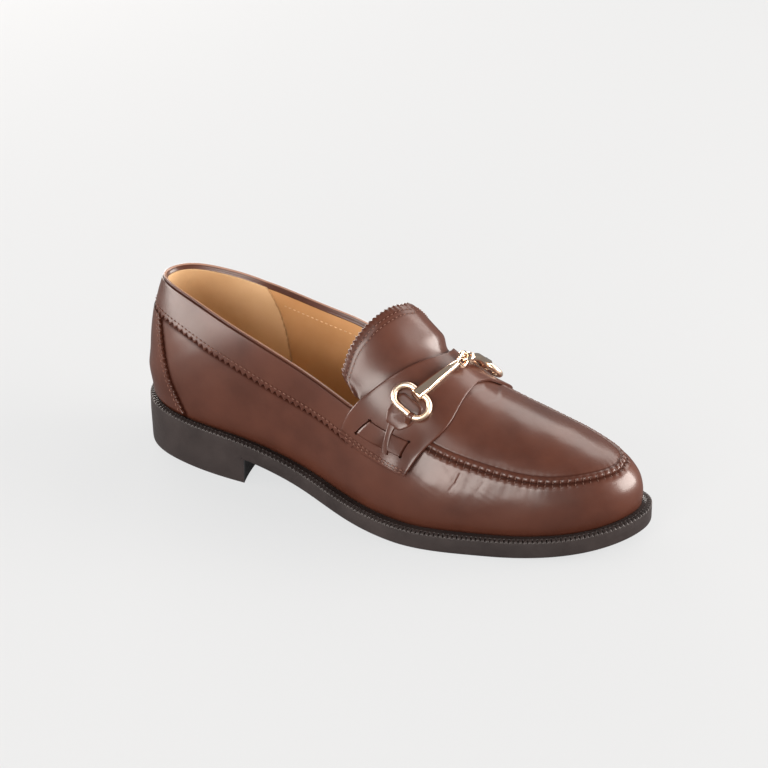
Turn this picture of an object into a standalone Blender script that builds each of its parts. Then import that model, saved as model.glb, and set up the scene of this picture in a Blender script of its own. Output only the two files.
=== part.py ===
"""A right-foot horsebit loafer: outsole, welt, heel, insole, hollow upper, tongue, saddle, backstay and bit.

Sizes are millimetres in the shoe's own frame: x runs from the back of the heel to the toe, y towards the
inner (medial) side of the foot and z up from the floor. Each mesh is then moved so that the middle of the
sole stands at the origin, in metres.

A point of the upper is named by its side (LATERAL or MEDIAL), its station, which is the share of the way
along that half of the sole's edge from the heel (0) to the toe (1), and its rise, which is the share of the
way up that wall line from the welt (0) to the ridge of the last (1).
"""

import math

import bmesh
import bpy
import numpy as np

MM = 0.001
LATERAL = -1
MEDIAL = 1
SIDES = {"lateral": LATERAL, "medial": MEDIAL}

# Sole
SHOE_LENGTH = 262.0
TOE_TIP_Y = 4.5
FOREFOOT_FLAT = (158.0, 202.0)
TOE_SPRING = 9.0
OUTSOLE_THICKNESS = 4.6
WELT_THICKNESS = 4.2
SEAT_GAP = 0.3
WELT_EDGE_ROUND = 0.9
WELT_ROUND_SHARE = 0.3

# Heel
HEEL_LENGTH = 68.0
HEEL_TOP_INSET = 0.6
HEEL_FOOT_INSET = 1.0
BREAST_RAKE = 0.5
BREAST_HOLLOW = 4.5
BREAST_BLEND = 6

# Leather
UPPER_WALL = 2.0
TONGUE_WALL = 2.2
TONGUE_SINK = 0.3
TONGUE_SWELL = 2.3
TONGUE_SWELL_START = 0.006
INSOLE_STEP = 2.0
INSOLE_CLEAR = 0.5
WELT_LAP = 0.2
SADDLE_LIFT = 0.4
SADDLE_WALL = 1.6
BACKSTAY_LIFT = 0.45
BACKSTAY_WALL = 1.1

# Bit
RING_LENGTH = 21.0
RING_WIDTH = 13.8
RING_WIRE = 2.8
RING_LIFT = 4.9
RING_PLACE = {"lateral": (0.543, 0.628), "medial": (0.588, 0.650)}
BAR_BASE = (5.6, 4.6)
BAR_NECK = (2.8, 2.6)
BAR_OVERHANG = 2.8
BAR_ARCH = 1.3
BAR_STEPS = 5
BAR_CHAMFER = 0.25
BORE_CLEAR = 0.35
EYE_RADIUS = 3.2
EYE_WIRE = 2.0
EYE_PITCH = 3.7
EYE_TURN = math.radians(45)
LINK_STATION = 0.530
LINK_LIFT = 7.0
KEEPER_WIDTH = 5.0
KEEPER_WALL = 1.2
KEEPER_CLEAR = 0.45

# Mesh fineness: points across and along each sheet
STATIONS = 48
THROAT_ROW = 26
LOWER_ROWS = 7
APRON_ROWS = 6
SOLE_ACROSS = 3
HEEL_GRID = (9, 15)
TONGUE_GRID = (19, 9)
SADDLE_GRID = (25, 8)
BACKSTAY_GRID = (13, 11)
KEEPER_ACROSS = 3
RING_ARC = 11
EYE_POINTS = 20
BORE_POINTS = 14
THROAT = THROAT_ROW / STATIONS

# Half widths of the sole by distance from the heel
SOLE_COLUMNS = ("x", "lateral", "medial")
SOLE_WIDTHS = (
    (8.5, 18.6, 18.6),
    (29.0, 29.3, 28.0),
    (61.0, 33.9, 28.0),
    (99.0, 35.5, 26.5),
    (134.0, 45.5, 33.4),
    (164.0, 50.0, 41.2),
    (194.0, 43.5, 43.3),
    (221.0, 34.3, 38.3),
    (244.0, 22.9, 28.8),
    (257.0, 10.0, 18.8),
)

# Height of the sole's underside from the heel seat to the forefoot
ARCH_COLUMNS = ("x", "height")
ARCH = (
    (0.0, 15.9),
    (30.0, 14.9),
    (62.0, 13.9),
    (90.0, 8.6),
    (120.0, 2.1),
    (148.0, 0.25),
    (158.0, 0.0),
)

# Top of the last: its height and how far it sways to the medial side
RIDGE_COLUMNS = ("x", "sway", "height")
RIDGE = (
    (49.0, -1.0, 118.0),
    (79.0, -0.6, 117.0),
    (109.0, -0.2, 110.0),
    (136.0, 0.2, 96.5),
    (156.0, 0.6, 77.5),
    (169.0, 1.0, 68.0),
    (179.0, 1.4, 62.0),
    (191.0, 2.0, 56.5),
    (207.0, 3.0, 51.2),
    (223.0, 4.0, 47.2),
    (239.0, 4.8, 42.6),
)

# Wall sections: where each line meets the ridge, how far it climbs before turning in, how it leans out at
# the welt, how broad the crown is and how far the welt stands out
WALL_COLUMNS = ("station", "ridge_x", "climb", "lean_lateral", "lean_medial", "crown", "welt")
WALL = (
    (0.00, 52.0, 0.62, 7.5, 7.5, 0.80, 3.2),
    (0.12, 65.0, 0.60, 7.5, 6.5, 0.80, 3.6),
    (0.25, 91.0, 0.57, 7.0, 5.5, 0.76, 4.8),
    (0.36, 119.0, 0.54, 7.0, 6.0, 0.72, 5.4),
    (0.46, 147.0, 0.52, 8.0, 8.0, 0.70, 5.8),
    (0.56, 171.0, 0.54, 9.0, 9.0, 0.67, 6.0),
    (0.66, 190.0, 0.58, 8.5, 9.0, 0.66, 6.0),
    (0.78, 210.0, 0.63, 8.0, 9.0, 0.66, 5.6),
    (0.90, 228.0, 0.68, 7.0, 7.5, 0.67, 5.0),
    (1.00, 236.0, 0.70, 6.5, 6.5, 0.67, 4.8),
)

# How far the walls sway to the medial side at the topline. Stations of the medial side are negative.
SWAY_COLUMNS = ("station", "sway")
SWAY = (
    (-0.54, 0.0),
    (-0.48, 1.5),
    (-0.44, 3.6),
    (-0.40, 4.7),
    (-0.36, 4.2),
    (-0.32, 2.9),
    (-0.28, 2.1),
    (-0.24, 1.6),
    (-0.20, 0.6),
    (-0.16, -1.0),
    (-0.12, -2.2),
    (-0.08, -1.6),
    (-0.04, 0.6),
    (0.00, 3.2),
    (0.04, 6.2),
    (0.08, 9.4),
    (0.12, 11.6),
    (0.16, 11.9),
    (0.20, 10.5),
    (0.24, 7.7),
    (0.28, 4.2),
    (0.32, 1.0),
    (0.36, -0.9),
    (0.40, -1.2),
    (0.44, -0.5),
    (0.48, 0.0),
    (0.54, 0.0),
)
SWAY_RISE = 0.5
SWAY_END = 0.9

# Height of the topline, and how much lower it runs on the medial side
TOPLINE_COLUMNS = ("x", "height", "medial_drop")
TOPLINE = (
    (4.0, 85.0, 0.0),
    (11.0, 85.4, 0.0),
    (24.0, 83.9, 0.0),
    (49.0, 79.0, 0.2),
    (74.0, 74.2, -1.6),
    (99.0, 67.6, -3.4),
    (119.0, 60.6, -3.5),
    (131.0, 56.2, -2.4),
    (146.0, 51.2, -1.4),
)

# Rise of the apron seam round the toe
SEAM_COLUMNS = ("station", "lateral", "medial")
SEAM = (
    (0.60, 0.470, 0.735),
    (0.68, 0.448, 0.684),
    (0.76, 0.422, 0.643),
    (0.82, 0.424, 0.618),
    (0.88, 0.478, 0.592),
    (0.94, 0.560, 0.606),
    (1.00, 0.655, 0.655),
)

# Stations of the saddle's rear and front edges
SADDLE_COLUMNS = ("rise", "rear_lateral", "front_lateral", "rear_medial", "front_medial")
SADDLE = (
    (0.25, 0.453, 0.584, 0.506, 0.626),
    (0.35, 0.460, 0.592, 0.514, 0.635),
    (0.45, 0.473, 0.600, 0.523, 0.642),
    (0.55, 0.486, 0.610, 0.530, 0.652),
    (0.65, 0.495, 0.614, 0.532, 0.650),
    (0.75, 0.502, 0.608, 0.530, 0.636),
    (0.85, 0.506, 0.597, 0.525, 0.613),
    (0.94, 0.506, 0.586, 0.514, 0.593),
    (1.00, 0.502, 0.577, 0.502, 0.577),
)
SADDLE_FOOT = (0.247, 0.284)

# Stations of the tongue's free edge
TONGUE_COLUMNS = ("rise", "lateral", "medial")
TONGUE = (
    (0.437, 0.462, 0.505),
    (0.455, 0.440, 0.494),
    (0.490, 0.430, 0.486),
    (0.560, 0.428, 0.481),
    (0.660, 0.428, 0.476),
    (0.780, 0.428, 0.465),
    (0.850, 0.4265, 0.453),
    (0.920, 0.423, 0.436),
    (1.000, 0.4185, 0.4185),
)
TONGUE_SIDE_GAP = 0.014
TONGUE_BUTT = 0.002

# Rises between which the topline is looked for
TOPLINE_SEARCH = (0.15, 0.95)

# The keeper's run over the ring's wire: place in half widths of the wire, millimetres on from there, and
# share of the climb from the saddle to the top of the wire
KEEPER_COLUMNS = ("flanks", "further", "climb")
KEEPER_RUN = (
    (0.00, -18.0, 0.00),
    (0.00, -9.0, 0.00),
    (-1.00, -2.2, 0.00),
    (-1.00, -0.7, 0.35),
    (-0.75, 0.0, 0.82),
    (0.00, 0.0, 1.00),
    (0.75, 0.0, 0.82),
    (1.00, 0.7, 0.35),
    (1.00, 1.6, 0.00),
    (0.00, 5.0, 0.00),
)

# Half width of the backstay, in stations
BACKSTAY_COLUMNS = ("rise", "station")
BACKSTAY = (
    (0.012, 0.150),
    (0.055, 0.137),
    (0.129, 0.112),
    (0.229, 0.0865),
    (0.289, 0.070),
)

# Colour, roughness and metallic value of each material
FINISHES = {
    "brown_calf": ((0.135, 0.042, 0.024), 0.32, 0.0),
    "tan_lining": ((0.46, 0.24, 0.09), 0.6, 0.0),
    "black_sole": ((0.016, 0.016, 0.018), 0.45, 0.0),
    "pale_gold": ((0.86, 0.70, 0.46), 0.18, 1.0),
}


def columns(names, rows):
    """A table's columns by name."""
    return dict(zip(names, np.array(rows).T))


def spline(at, values, ends="natural"):
    """Cubic spline through a table. Its ends are natural, level or closed on each other."""
    at = np.asarray(at, float)
    values = np.asarray(values, float).reshape(len(at), -1)
    count = len(at)
    step = np.diff(at)
    slope = np.diff(values, axis=0) / step[:, None]
    matrix = np.zeros((count, count))
    right = np.zeros((count, values.shape[1]))
    for row in range(1, count - 1):
        matrix[row, row - 1 : row + 2] = step[row - 1], 2 * (step[row - 1] + step[row]), step[row]
        right[row] = 6 * (slope[row] - slope[row - 1])
    if ends == "closed":
        matrix[0, [0, 1, -2]] = 2 * (step[0] + step[-1]), step[0], step[-1]
        right[0] = 6 * (slope[0] - slope[-1])
        matrix[-1, [0, -1]] = 1, -1
    elif ends == "level":
        matrix[0, :2] = 2 * step[0], step[0]
        right[0] = 6 * slope[0]
        matrix[-1, -2:] = step[-1], 2 * step[-1]
        right[-1] = -6 * slope[-1]
    else:
        matrix[0, 0] = matrix[-1, -1] = 1
    bend = np.linalg.solve(matrix, right)

    def value(where):
        where = np.clip(np.asarray(where, float), at[0], at[-1])
        left = np.clip(np.searchsorted(at, where, side="right") - 1, 0, count - 2)
        width = step[left][..., None]
        before = (at[left + 1] - where)[..., None] / width
        after = 1 - before
        cubic = (before**3 - before) * bend[left] + (after**3 - after) * bend[left + 1]
        result = before * values[left] + after * values[left + 1] + cubic * width**2 / 6
        return result[..., 0] if values.shape[1] == 1 else result

    return value


def unit(vector):
    return vector / np.linalg.norm(vector, axis=-1, keepdims=True)


def ease(share):
    """A smooth step from 0 to 1."""
    share = np.clip(share, 0, 1)
    return share * share * (3 - 2 * share)


class SoleEdge:
    """The closed outline of the sole, walked from the heel to the toe along either half."""

    SAMPLES = 4000

    def __init__(self):
        table = columns(SOLE_COLUMNS, SOLE_WIDTHS)
        lateral = np.column_stack([table["x"], -table["lateral"]])
        medial = np.column_stack([table["x"], table["medial"]])
        heel_back = [(0.0, 0.0)]
        toe_tip = [(SHOE_LENGTH, TOE_TIP_Y)]
        points = np.vstack([heel_back, lateral, toe_tip, medial[::-1], heel_back])
        chord = np.append(0, np.cumsum(np.linalg.norm(np.diff(points, axis=0), axis=1)))
        self.curve = spline(chord, points, "closed")
        self.period = chord[-1]
        self.parameter = np.linspace(0, self.period, self.SAMPLES + 1)
        outline = self.curve(self.parameter)
        self.length = np.append(0, np.cumsum(np.linalg.norm(np.diff(outline, axis=0), axis=1)))
        self.toe_length = self.length[np.argmax(outline[:, 0])]
        self.middle = (outline.max(axis=0) + outline.min(axis=0)) / 2

    def walk(self, side, station):
        """The edge point at a station, and the outward direction there."""
        lateral_way = station * self.toe_length
        medial_way = self.length[-1] - station * (self.length[-1] - self.toe_length)
        way = np.where(np.asarray(side) < 0, lateral_way, medial_way)
        parameter = np.interp(way, self.length, self.parameter)
        reach = self.period / self.SAMPLES
        ahead = self.curve((parameter + reach) % self.period)
        behind = self.curve((parameter - reach) % self.period)
        along = unit(ahead - behind)
        outward = np.stack([along[..., 1], -along[..., 0]], axis=-1)
        return self.curve(parameter), outward


EDGE = SoleEdge()
ARCH_HEIGHT = spline(*columns(ARCH_COLUMNS, ARCH).values())
WALL_TABLE = columns(WALL_COLUMNS, WALL)
WALL_AT = {name: spline(WALL_TABLE["station"], WALL_TABLE[name], "level") for name in WALL_COLUMNS[1:]}
SWAY_AT = spline(*columns(SWAY_COLUMNS, SWAY).values())
RIDGE_TABLE = columns(RIDGE_COLUMNS, RIDGE)
RIDGE_AT = {name: spline(RIDGE_TABLE["x"], RIDGE_TABLE[name]) for name in RIDGE_COLUMNS[1:]}
TOPLINE_TABLE = columns(TOPLINE_COLUMNS, TOPLINE)
TOPLINE_HEIGHT = spline(TOPLINE_TABLE["x"], TOPLINE_TABLE["height"])
SEAM_TABLE = columns(SEAM_COLUMNS, SEAM)
SEAM_AT = {SIDES[name]: spline(SEAM_TABLE["station"], SEAM_TABLE[name]) for name in SIDES}
SADDLE_TABLE = columns(SADDLE_COLUMNS, SADDLE)
SADDLE_AT = {name: spline(SADDLE_TABLE["rise"], SADDLE_TABLE[name]) for name in SADDLE_COLUMNS[1:]}
TONGUE_TABLE = columns(TONGUE_COLUMNS, TONGUE)
TONGUE_AT = {SIDES[name]: spline(TONGUE_TABLE["rise"], TONGUE_TABLE[name]) for name in SIDES}
BACKSTAY_EDGE = spline(*columns(BACKSTAY_COLUMNS, BACKSTAY).values())


def underside(x):
    """Height of the sole's underside: heel seat and arch, a flat forefoot, then the toe spring."""
    flat_start, flat_end = FOREFOOT_FLAT
    arch = np.where(x < flat_start, np.maximum(ARCH_HEIGHT(x), 0), 0)
    spring = np.clip((x - flat_end) / (SHOE_LENGTH - flat_end), 0, None)
    return arch + TOE_SPRING * spring**2


def welt_top(x):
    return underside(x) + OUTSOLE_THICKNESS + SEAT_GAP + WELT_THICKNESS


def edge_points(side, station, inset, height):
    """Points a given inset inside the sole's edge, at a height worked out from the edge's x."""
    point, outward = EDGE.walk(side, station)
    inset = np.asarray(inset, float)
    flat = point - outward * inset[..., None]
    return np.concatenate([flat, height(point[..., 0])[..., None]], axis=-1)


def ridge_point(x):
    return np.stack([x, RIDGE_AT["sway"](x), RIDGE_AT["height"](x)], axis=-1)


def sway(side, station, rise):
    """How far a wall point moves to the medial side: most at the topline, none at the welt and the ridge."""
    reach = SWAY_AT(-side * station) * ease(rise / SWAY_RISE)
    return reach * (1 - ease((rise - SWAY_RISE) / (SWAY_END - SWAY_RISE)))


def wall(side, station, rise):
    """A point of the upper's outer surface: a cubic from the welt, up the wall and over to the ridge."""
    side, station, rise = np.broadcast_arrays(side, station, rise)
    welt_line = edge_points(side, station, WALL_AT["welt"](station), lambda x: welt_top(x) + SEAT_GAP)
    outward = EDGE.walk(side, station)[1]
    x = WALL_AT["ridge_x"](station)
    crown = ridge_point(x)
    across = crown[..., :2] - welt_line[..., :2]
    reach = np.linalg.norm(across, axis=-1)
    across = across / reach[..., None]
    climb = WALL_AT["climb"](station) * (crown[..., 2] - welt_line[..., 2])
    lean_degrees = np.where(side < 0, WALL_AT["lean_lateral"](station), WALL_AT["lean_medial"](station))
    lean = climb * np.tan(np.radians(lean_degrees))
    shoulder = welt_line + np.concatenate([outward * lean[..., None], climb[..., None]], axis=-1)
    slope = RIDGE_AT["height"](x + 0.5) - RIDGE_AT["height"](x - 0.5)
    level = np.concatenate([across, (slope * across[..., 0])[..., None]], axis=-1)
    brow = crown - level * (WALL_AT["crown"](station) * reach)[..., None]
    up = rise[..., None]
    down = 1 - up
    point = down**3 * welt_line + 3 * down**2 * up * shoulder + 3 * down * up**2 * brow + up**3 * crown
    point[..., 1] += sway(side, station, rise)
    return point


def wall_slopes(side, station, rise, small=1e-3):
    """How a wall point moves with the station and with the rise."""
    low = np.clip(station - small, 0, 1)
    high = np.clip(station + small, 0, 1)
    by_station = (wall(side, high, rise) - wall(side, low, rise)) / (high - low)[..., None]
    by_rise = (wall(side, station, rise + small) - wall(side, station, rise - small)) / (2 * small)
    return by_station, by_rise


def wall_normal(side, station, rise):
    side, station, rise = np.broadcast_arrays(side, np.asarray(station, float), np.asarray(rise, float))
    by_station, by_rise = wall_slopes(side, station, rise)
    return unit(-side[..., None] * np.cross(by_station, by_rise))


def offset_wall(side, station, rise, lift):
    """A wall point moved out along the normal."""
    return wall(side, station, rise) + wall_normal(side, station, rise) * np.asarray(lift)[..., None]


def topline_height(side, x):
    drop = np.interp(x, TOPLINE_TABLE["x"], TOPLINE_TABLE["medial_drop"])
    return TOPLINE_HEIGHT(x) - (drop if side == MEDIAL else 0)


def topline_rise(side, station):
    """Where a wall line reaches the topline, found by halving."""
    low, high = (np.full(np.shape(station), end) for end in TOPLINE_SEARCH)
    for _ in range(40):
        middle = (low + high) / 2
        point = wall(side, station, middle)
        below = point[..., 2] < topline_height(side, point[..., 0])
        low = np.where(below, middle, low)
        high = np.where(below, high, middle)
    return low


def split_rise(side, station):
    """The row that follows the topline behind the throat and the apron seam in front of it."""
    station = np.asarray(station, float)
    top = topline_rise(side, np.minimum(station, THROAT))
    seam_start = SEAM[0][0]
    share = ease((station - THROAT) / (seam_start - THROAT))
    return top + (SEAM_AT[side](station) - top) * share


def foot_of(side, point, station, rise):
    """The wall coordinates under a point near the wall, and its height over the wall."""
    for _ in range(12):
        gap = point - wall(side, station, rise)
        by_station, by_rise = wall_slopes(side, np.asarray(station), np.asarray(rise))
        share = np.linalg.lstsq(np.column_stack([by_station, by_rise]), gap, rcond=None)[0]
        station = station + share[0]
        rise = rise + share[1]
    height = (point - wall(side, station, rise)) @ wall_normal(side, station, rise)
    return station, rise, height


def to_world(points):
    points = np.asarray(points, float)
    return (points - np.append(EDGE.middle, 0)) * MM


def new_object(name, mesh_builder, finish, smooth_angle=40):
    """A mesh object in the parts' collection, with welded points, outward faces and smooth shading."""
    bm = bmesh.new()
    mesh_builder(bm)
    bmesh.ops.remove_doubles(bm, verts=bm.verts, dist=1e-6)
    bmesh.ops.recalc_face_normals(bm, faces=bm.faces)
    mesh = bpy.data.meshes.new(name)
    bm.to_mesh(mesh)
    bm.free()
    mesh.shade_smooth()
    mesh.set_sharp_from_angle(angle=math.radians(smooth_angle))
    mesh.materials.append(material(finish))
    thing = bpy.data.objects.new(name, mesh)
    bpy.data.collections["horsebit_loafer"].objects.link(thing)
    return thing


def material(finish):
    found = bpy.data.materials.get(finish)
    if found:
        return found
    colour, roughness, metallic = FINISHES[finish]
    made = bpy.data.materials.new(finish)
    made.use_nodes = True
    shader = made.node_tree.nodes["Principled BSDF"]
    shader.inputs["Base Color"].default_value = (*colour, 1)
    shader.inputs["Roughness"].default_value = roughness
    shader.inputs["Metallic"].default_value = metallic
    made.diffuse_color = (*colour, 1)
    return made


def add_grid(bm, points, wrap_rows=False, wrap_columns=False):
    """Adds a sheet of faces over rows of points and returns its rows of vertices."""
    points = to_world(points)
    rows = [[bm.verts.new(point) for point in row] for row in points]
    row_count = len(rows) - (not wrap_rows)
    column_count = len(rows[0]) - (not wrap_columns)
    for i in range(row_count):
        for j in range(column_count):
            below = rows[i]
            above = rows[(i + 1) % len(rows)]
            after = (j + 1) % len(below)
            bm.faces.new((below[j], below[after], above[after], above[j]))
    return rows


def add_slab(bm, top, bottom):
    """Adds a closed slab between two sheets of the same layout."""
    upper = add_grid(bm, top)
    lower = add_grid(bm, bottom)
    for rows in (0, -1):
        for j in range(len(upper[0]) - 1):
            bm.faces.new((upper[rows][j], upper[rows][j + 1], lower[rows][j + 1], lower[rows][j]))
    for column in (0, -1):
        for i in range(len(upper) - 1):
            bm.faces.new((upper[i][column], upper[i + 1][column], lower[i + 1][column], lower[i][column]))


def thicken(thing, thickness, outwards):
    shell = thing.modifiers.new("leather", "SOLIDIFY")
    shell.thickness = thickness * MM
    shell.offset = 1 if outwards else -1
    shell.use_even_offset = True


def across_sole(station, inset, height, shares):
    """Rows of points from the lateral to the medial edge at each station."""
    lateral = edge_points(LATERAL, station, inset, height)
    medial = edge_points(MEDIAL, station, inset, height)
    shares = np.asarray(shares)[None, :, None]
    return lateral[:, None] * (1 - shares) + medial[:, None] * shares


def make_outsole(station):
    inset = np.zeros_like(station)
    shares = np.linspace(0, 1, SOLE_ACROSS)
    top = across_sole(station, inset, lambda x: underside(x) + OUTSOLE_THICKNESS, shares)
    bottom = across_sole(station, inset, underside, shares)
    new_object("outsole", lambda bm: add_slab(bm, top, bottom), "black_sole")


def make_welt(station):
    """A closed ring: each section runs up the edge, over its round, along the top and back underneath."""
    ring = [(LATERAL, share) for share in station[:-1]] + [(MEDIAL, share) for share in station[:0:-1]]
    side, share = (np.array(values) for values in zip(*ring))
    lap = WALL_AT["welt"](share) + UPPER_WALL + WELT_LAP
    none = np.zeros_like(share)
    turn = none + WELT_EDGE_ROUND
    part_turn = turn * WELT_ROUND_SHARE
    section = (
        edge_points(side, share, none, lambda x: welt_top(x) - WELT_THICKNESS),
        edge_points(side, share, none, lambda x: welt_top(x) - WELT_EDGE_ROUND),
        edge_points(side, share, part_turn, lambda x: welt_top(x) - WELT_EDGE_ROUND * WELT_ROUND_SHARE),
        edge_points(side, share, turn, welt_top),
        edge_points(side, share, lap, welt_top),
        edge_points(side, share, lap, lambda x: welt_top(x) - WELT_THICKNESS),
    )
    points = np.stack(section, axis=1)
    new_object("welt", lambda bm: add_grid(bm, points, True, True), "black_sole")


def make_insole(station):
    inset = WALL_AT["welt"](station) + UPPER_WALL + WELT_LAP + INSOLE_CLEAR
    shares = np.linspace(0, 1, SOLE_ACROSS)
    top = across_sole(station, inset, lambda x: welt_top(x) + INSOLE_STEP, shares)
    bottom = across_sole(station, inset, lambda x: underside(x) + OUTSOLE_THICKNESS + SEAT_GAP, shares)
    new_object("insole", lambda bm: add_slab(bm, top, bottom), "tan_lining")


def station_at(side, x):
    """The station where one half of the sole's edge passes an x."""
    stations = np.linspace(0, 1, 2001)
    return np.interp(x, EDGE.walk(side, stations)[0][:, 0], stations)


def make_heel():
    """The heel block under the seat, drawn in towards the floor, with a raked and hollowed breast."""
    across, share = (np.linspace(0, 1, count) for count in HEEL_GRID)
    hollow = BREAST_HOLLOW * (1 - (2 * across - 1) ** 2)

    def sheet(length, inset, height):
        edges = []
        for side in SIDES.values():
            station = share * station_at(side, length)
            edges.append(edge_points(side, station, np.full_like(station, inset), height))
        rows = edges[0][:, None] * (1 - across[:, None]) + edges[1][:, None] * across[:, None]
        rows[..., 0] -= share[:, None] ** BREAST_BLEND * hollow
        rows[..., 2] = height(rows[..., 0])
        return rows

    top = sheet(HEEL_LENGTH, HEEL_TOP_INSET, lambda x: underside(x) - SEAT_GAP)
    bottom = sheet(HEEL_LENGTH - BREAST_RAKE, HEEL_FOOT_INSET, lambda x: 0 * x)
    new_object("heel", lambda bm: add_slab(bm, top, bottom), "black_sole")


def make_upper(station):
    """The hollow upper: quarters up to the topline, and a vamp that closes over the ridge."""

    def build(bm):
        for side in SIDES.values():
            split = split_rise(side, station)
            low_share = np.linspace(0, 1, LOWER_ROWS + 1)
            add_grid(bm, wall(side, station[:, None], split[:, None] * low_share))
            front = station[THROAT_ROW:]
            front_split = split[THROAT_ROW:, None]
            apron_share = np.linspace(0, 1, APRON_ROWS + 1)
            add_grid(bm, wall(side, front[:, None], front_split + (1 - front_split) * apron_share))

    upper = new_object("upper", build, "brown_calf", 60)
    thicken(upper, UPPER_WALL, outwards=False)


def make_tongue():
    """The tongue continues the last behind the throat and stands off it a little towards its free edge."""
    across = np.linspace(-1, 1, TONGUE_GRID[0])
    along = np.linspace(0, 1, TONGUE_GRID[1])
    front = THROAT - TONGUE_BUTT
    rows = []
    for place in across:
        name = "lateral" if place < 0 else "medial"
        side = SIDES[name]
        station = np.full_like(along, front)
        for _ in range(6):
            clear = topline_rise(side, station) + TONGUE_SIDE_GAP
            side_rise = np.maximum(TONGUE[0][0], clear)
            rise = 1 - abs(place) * (1 - side_rise)
            free_edge = TONGUE_AT[side](rise)
            station = free_edge + (front - free_edge) * along
        swell_start = SADDLE_AT["rear_" + name](rise) - TONGUE_SWELL_START
        swell = ease((swell_start - station) / (swell_start - free_edge))
        lift = (TONGUE_SWELL + TONGUE_SINK) * swell - TONGUE_SINK
        rows.append(offset_wall(side, station, rise, lift))
    tongue = new_object("tongue", lambda bm: add_grid(bm, rows), "brown_calf", 60)
    thicken(tongue, TONGUE_WALL, outwards=False)


def make_saddle():
    """The saddle strap over the instep, one layer out from the upper."""
    across = np.linspace(-1, 1, SADDLE_GRID[0])
    along = np.linspace(0, 1, SADDLE_GRID[1])
    foot = SADDLE_FOOT[0] + (SADDLE_FOOT[1] - SADDLE_FOOT[0]) * along
    rows = []
    for place in across:
        name = "lateral" if place < 0 else "medial"
        rise = 1 - abs(place) * (1 - foot)
        rear = SADDLE_AT["rear_" + name](rise)
        front = SADDLE_AT["front_" + name](rise)
        station = rear + (front - rear) * along
        rows.append(offset_wall(SIDES[name], station, rise, np.full_like(station, SADDLE_LIFT)))
    saddle = new_object("saddle", lambda bm: add_grid(bm, rows), "brown_calf", 60)
    thicken(saddle, SADDLE_WALL, outwards=True)


def make_backstay():
    """The strip up the back of the heel, widest at the welt."""
    rise = np.linspace(BACKSTAY[0][0], BACKSTAY[-1][0], BACKSTAY_GRID[1])
    half = BACKSTAY_EDGE(rise)
    rows = []
    for place in np.linspace(-1, 1, BACKSTAY_GRID[0]):
        side = LATERAL if place < 0 else MEDIAL
        rows.append(offset_wall(side, abs(place) * half, rise, np.full_like(rise, BACKSTAY_LIFT)))
    backstay = new_object("backstay", lambda bm: add_grid(bm, rows), "brown_calf", 60)
    thicken(backstay, BACKSTAY_WALL, outwards=True)


def ring_frame(name):
    """A ring's middle and its axes: along the shoe, up towards the ridge, and out of the leather."""
    side = SIDES[name]
    station, rise = (np.array(share) for share in RING_PLACE[name])
    out = wall_normal(side, station, rise)
    along = wall_slopes(side, station, rise)[0]
    along = unit(along - out * (along @ out))
    up = unit(np.cross(out, along))
    if up[2] < 0:
        up = -up
    return wall(side, station, rise) + out * RING_LIFT, along, up, out


def tube(name, points, radius, finish, sides=8):
    """A closed wire through a loop of points, as a curve with a round bevel."""
    curve = bpy.data.curves.new(name, "CURVE")
    curve.dimensions = "3D"
    curve.bevel_depth = radius * MM
    curve.bevel_resolution = sides // 2 - 2
    route = curve.splines.new("POLY")
    route.points.add(len(points) - 1)
    for knot, point in zip(route.points, to_world(points)):
        knot.co = (*point, 1)
    route.use_cyclic_u = True
    curve.materials.append(material(finish))
    thing = bpy.data.objects.new(name, curve)
    bpy.data.collections["horsebit_loafer"].objects.link(thing)
    return thing


def ring_loop(name):
    """The middle line of a ring's wire: two half circles joined by straight sides."""
    middle, along, up, _ = ring_frame(name)
    radius = (RING_WIDTH - RING_WIRE) / 2
    straight = (RING_LENGTH - RING_WIDTH) / 2
    points = []
    for end, start in ((1, -90), (-1, 90)):
        for angle in np.radians(np.linspace(start, start + 180, RING_ARC)):
            centre = middle + along * straight * end
            points.append(centre + radius * (along * math.cos(angle) + up * math.sin(angle)))
    return points


def make_ring(name):
    tube("bit_ring_" + name, ring_loop(name), RING_WIRE / 2, "pale_gold")


def as_mesh(thing):
    """Turns a curve object into a mesh object of the same name, with its points welded."""
    graph = bpy.context.evaluated_depsgraph_get()
    mesh = bpy.data.meshes.new_from_object(thing.evaluated_get(graph))
    name = thing.name
    bpy.data.objects.remove(thing)
    bm = bmesh.new()
    bm.from_mesh(mesh)
    bmesh.ops.remove_doubles(bm, verts=bm.verts, dist=1e-6)
    bmesh.ops.recalc_face_normals(bm, faces=bm.faces)
    bm.to_mesh(mesh)
    bm.free()
    made = bpy.data.objects.new(name, mesh)
    return made


def add_cutter(thing):
    """Puts a helper in the cutters' collection, out of the render."""
    for home in list(thing.users_collection):
        home.objects.unlink(thing)
    bpy.data.collections["cutters"].objects.link(thing)
    thing.hide_render = True
    thing.display_type = "WIRE"


def combine(thing, other, operation):
    change = thing.modifiers.new(other.name, "BOOLEAN")
    change.operation = operation
    change.object = other


def circle_points(centre, first, second, radius, count):
    angles = np.linspace(0, 2 * math.pi, count, endpoint=False)
    return [centre + radius * (first * math.cos(angle) + second * math.sin(angle)) for angle in angles]


def bar_section(centre, wide, high, size):
    """A rectangle with cut corners."""
    half_wide, half_high = size[0] / 2, size[1] / 2
    cut = BAR_CHAMFER * min(size)
    corners = []
    for x, y, first in ((1, -1, True), (1, 1, False), (-1, 1, True), (-1, -1, False)):
        by_side = (x * half_wide, y * (half_high - cut))
        by_end = (x * (half_wide - cut), y * half_high)
        corners += [by_end, by_side] if first else [by_side, by_end]
    return [centre + wide * x + high * y for x, y in corners]


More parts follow.
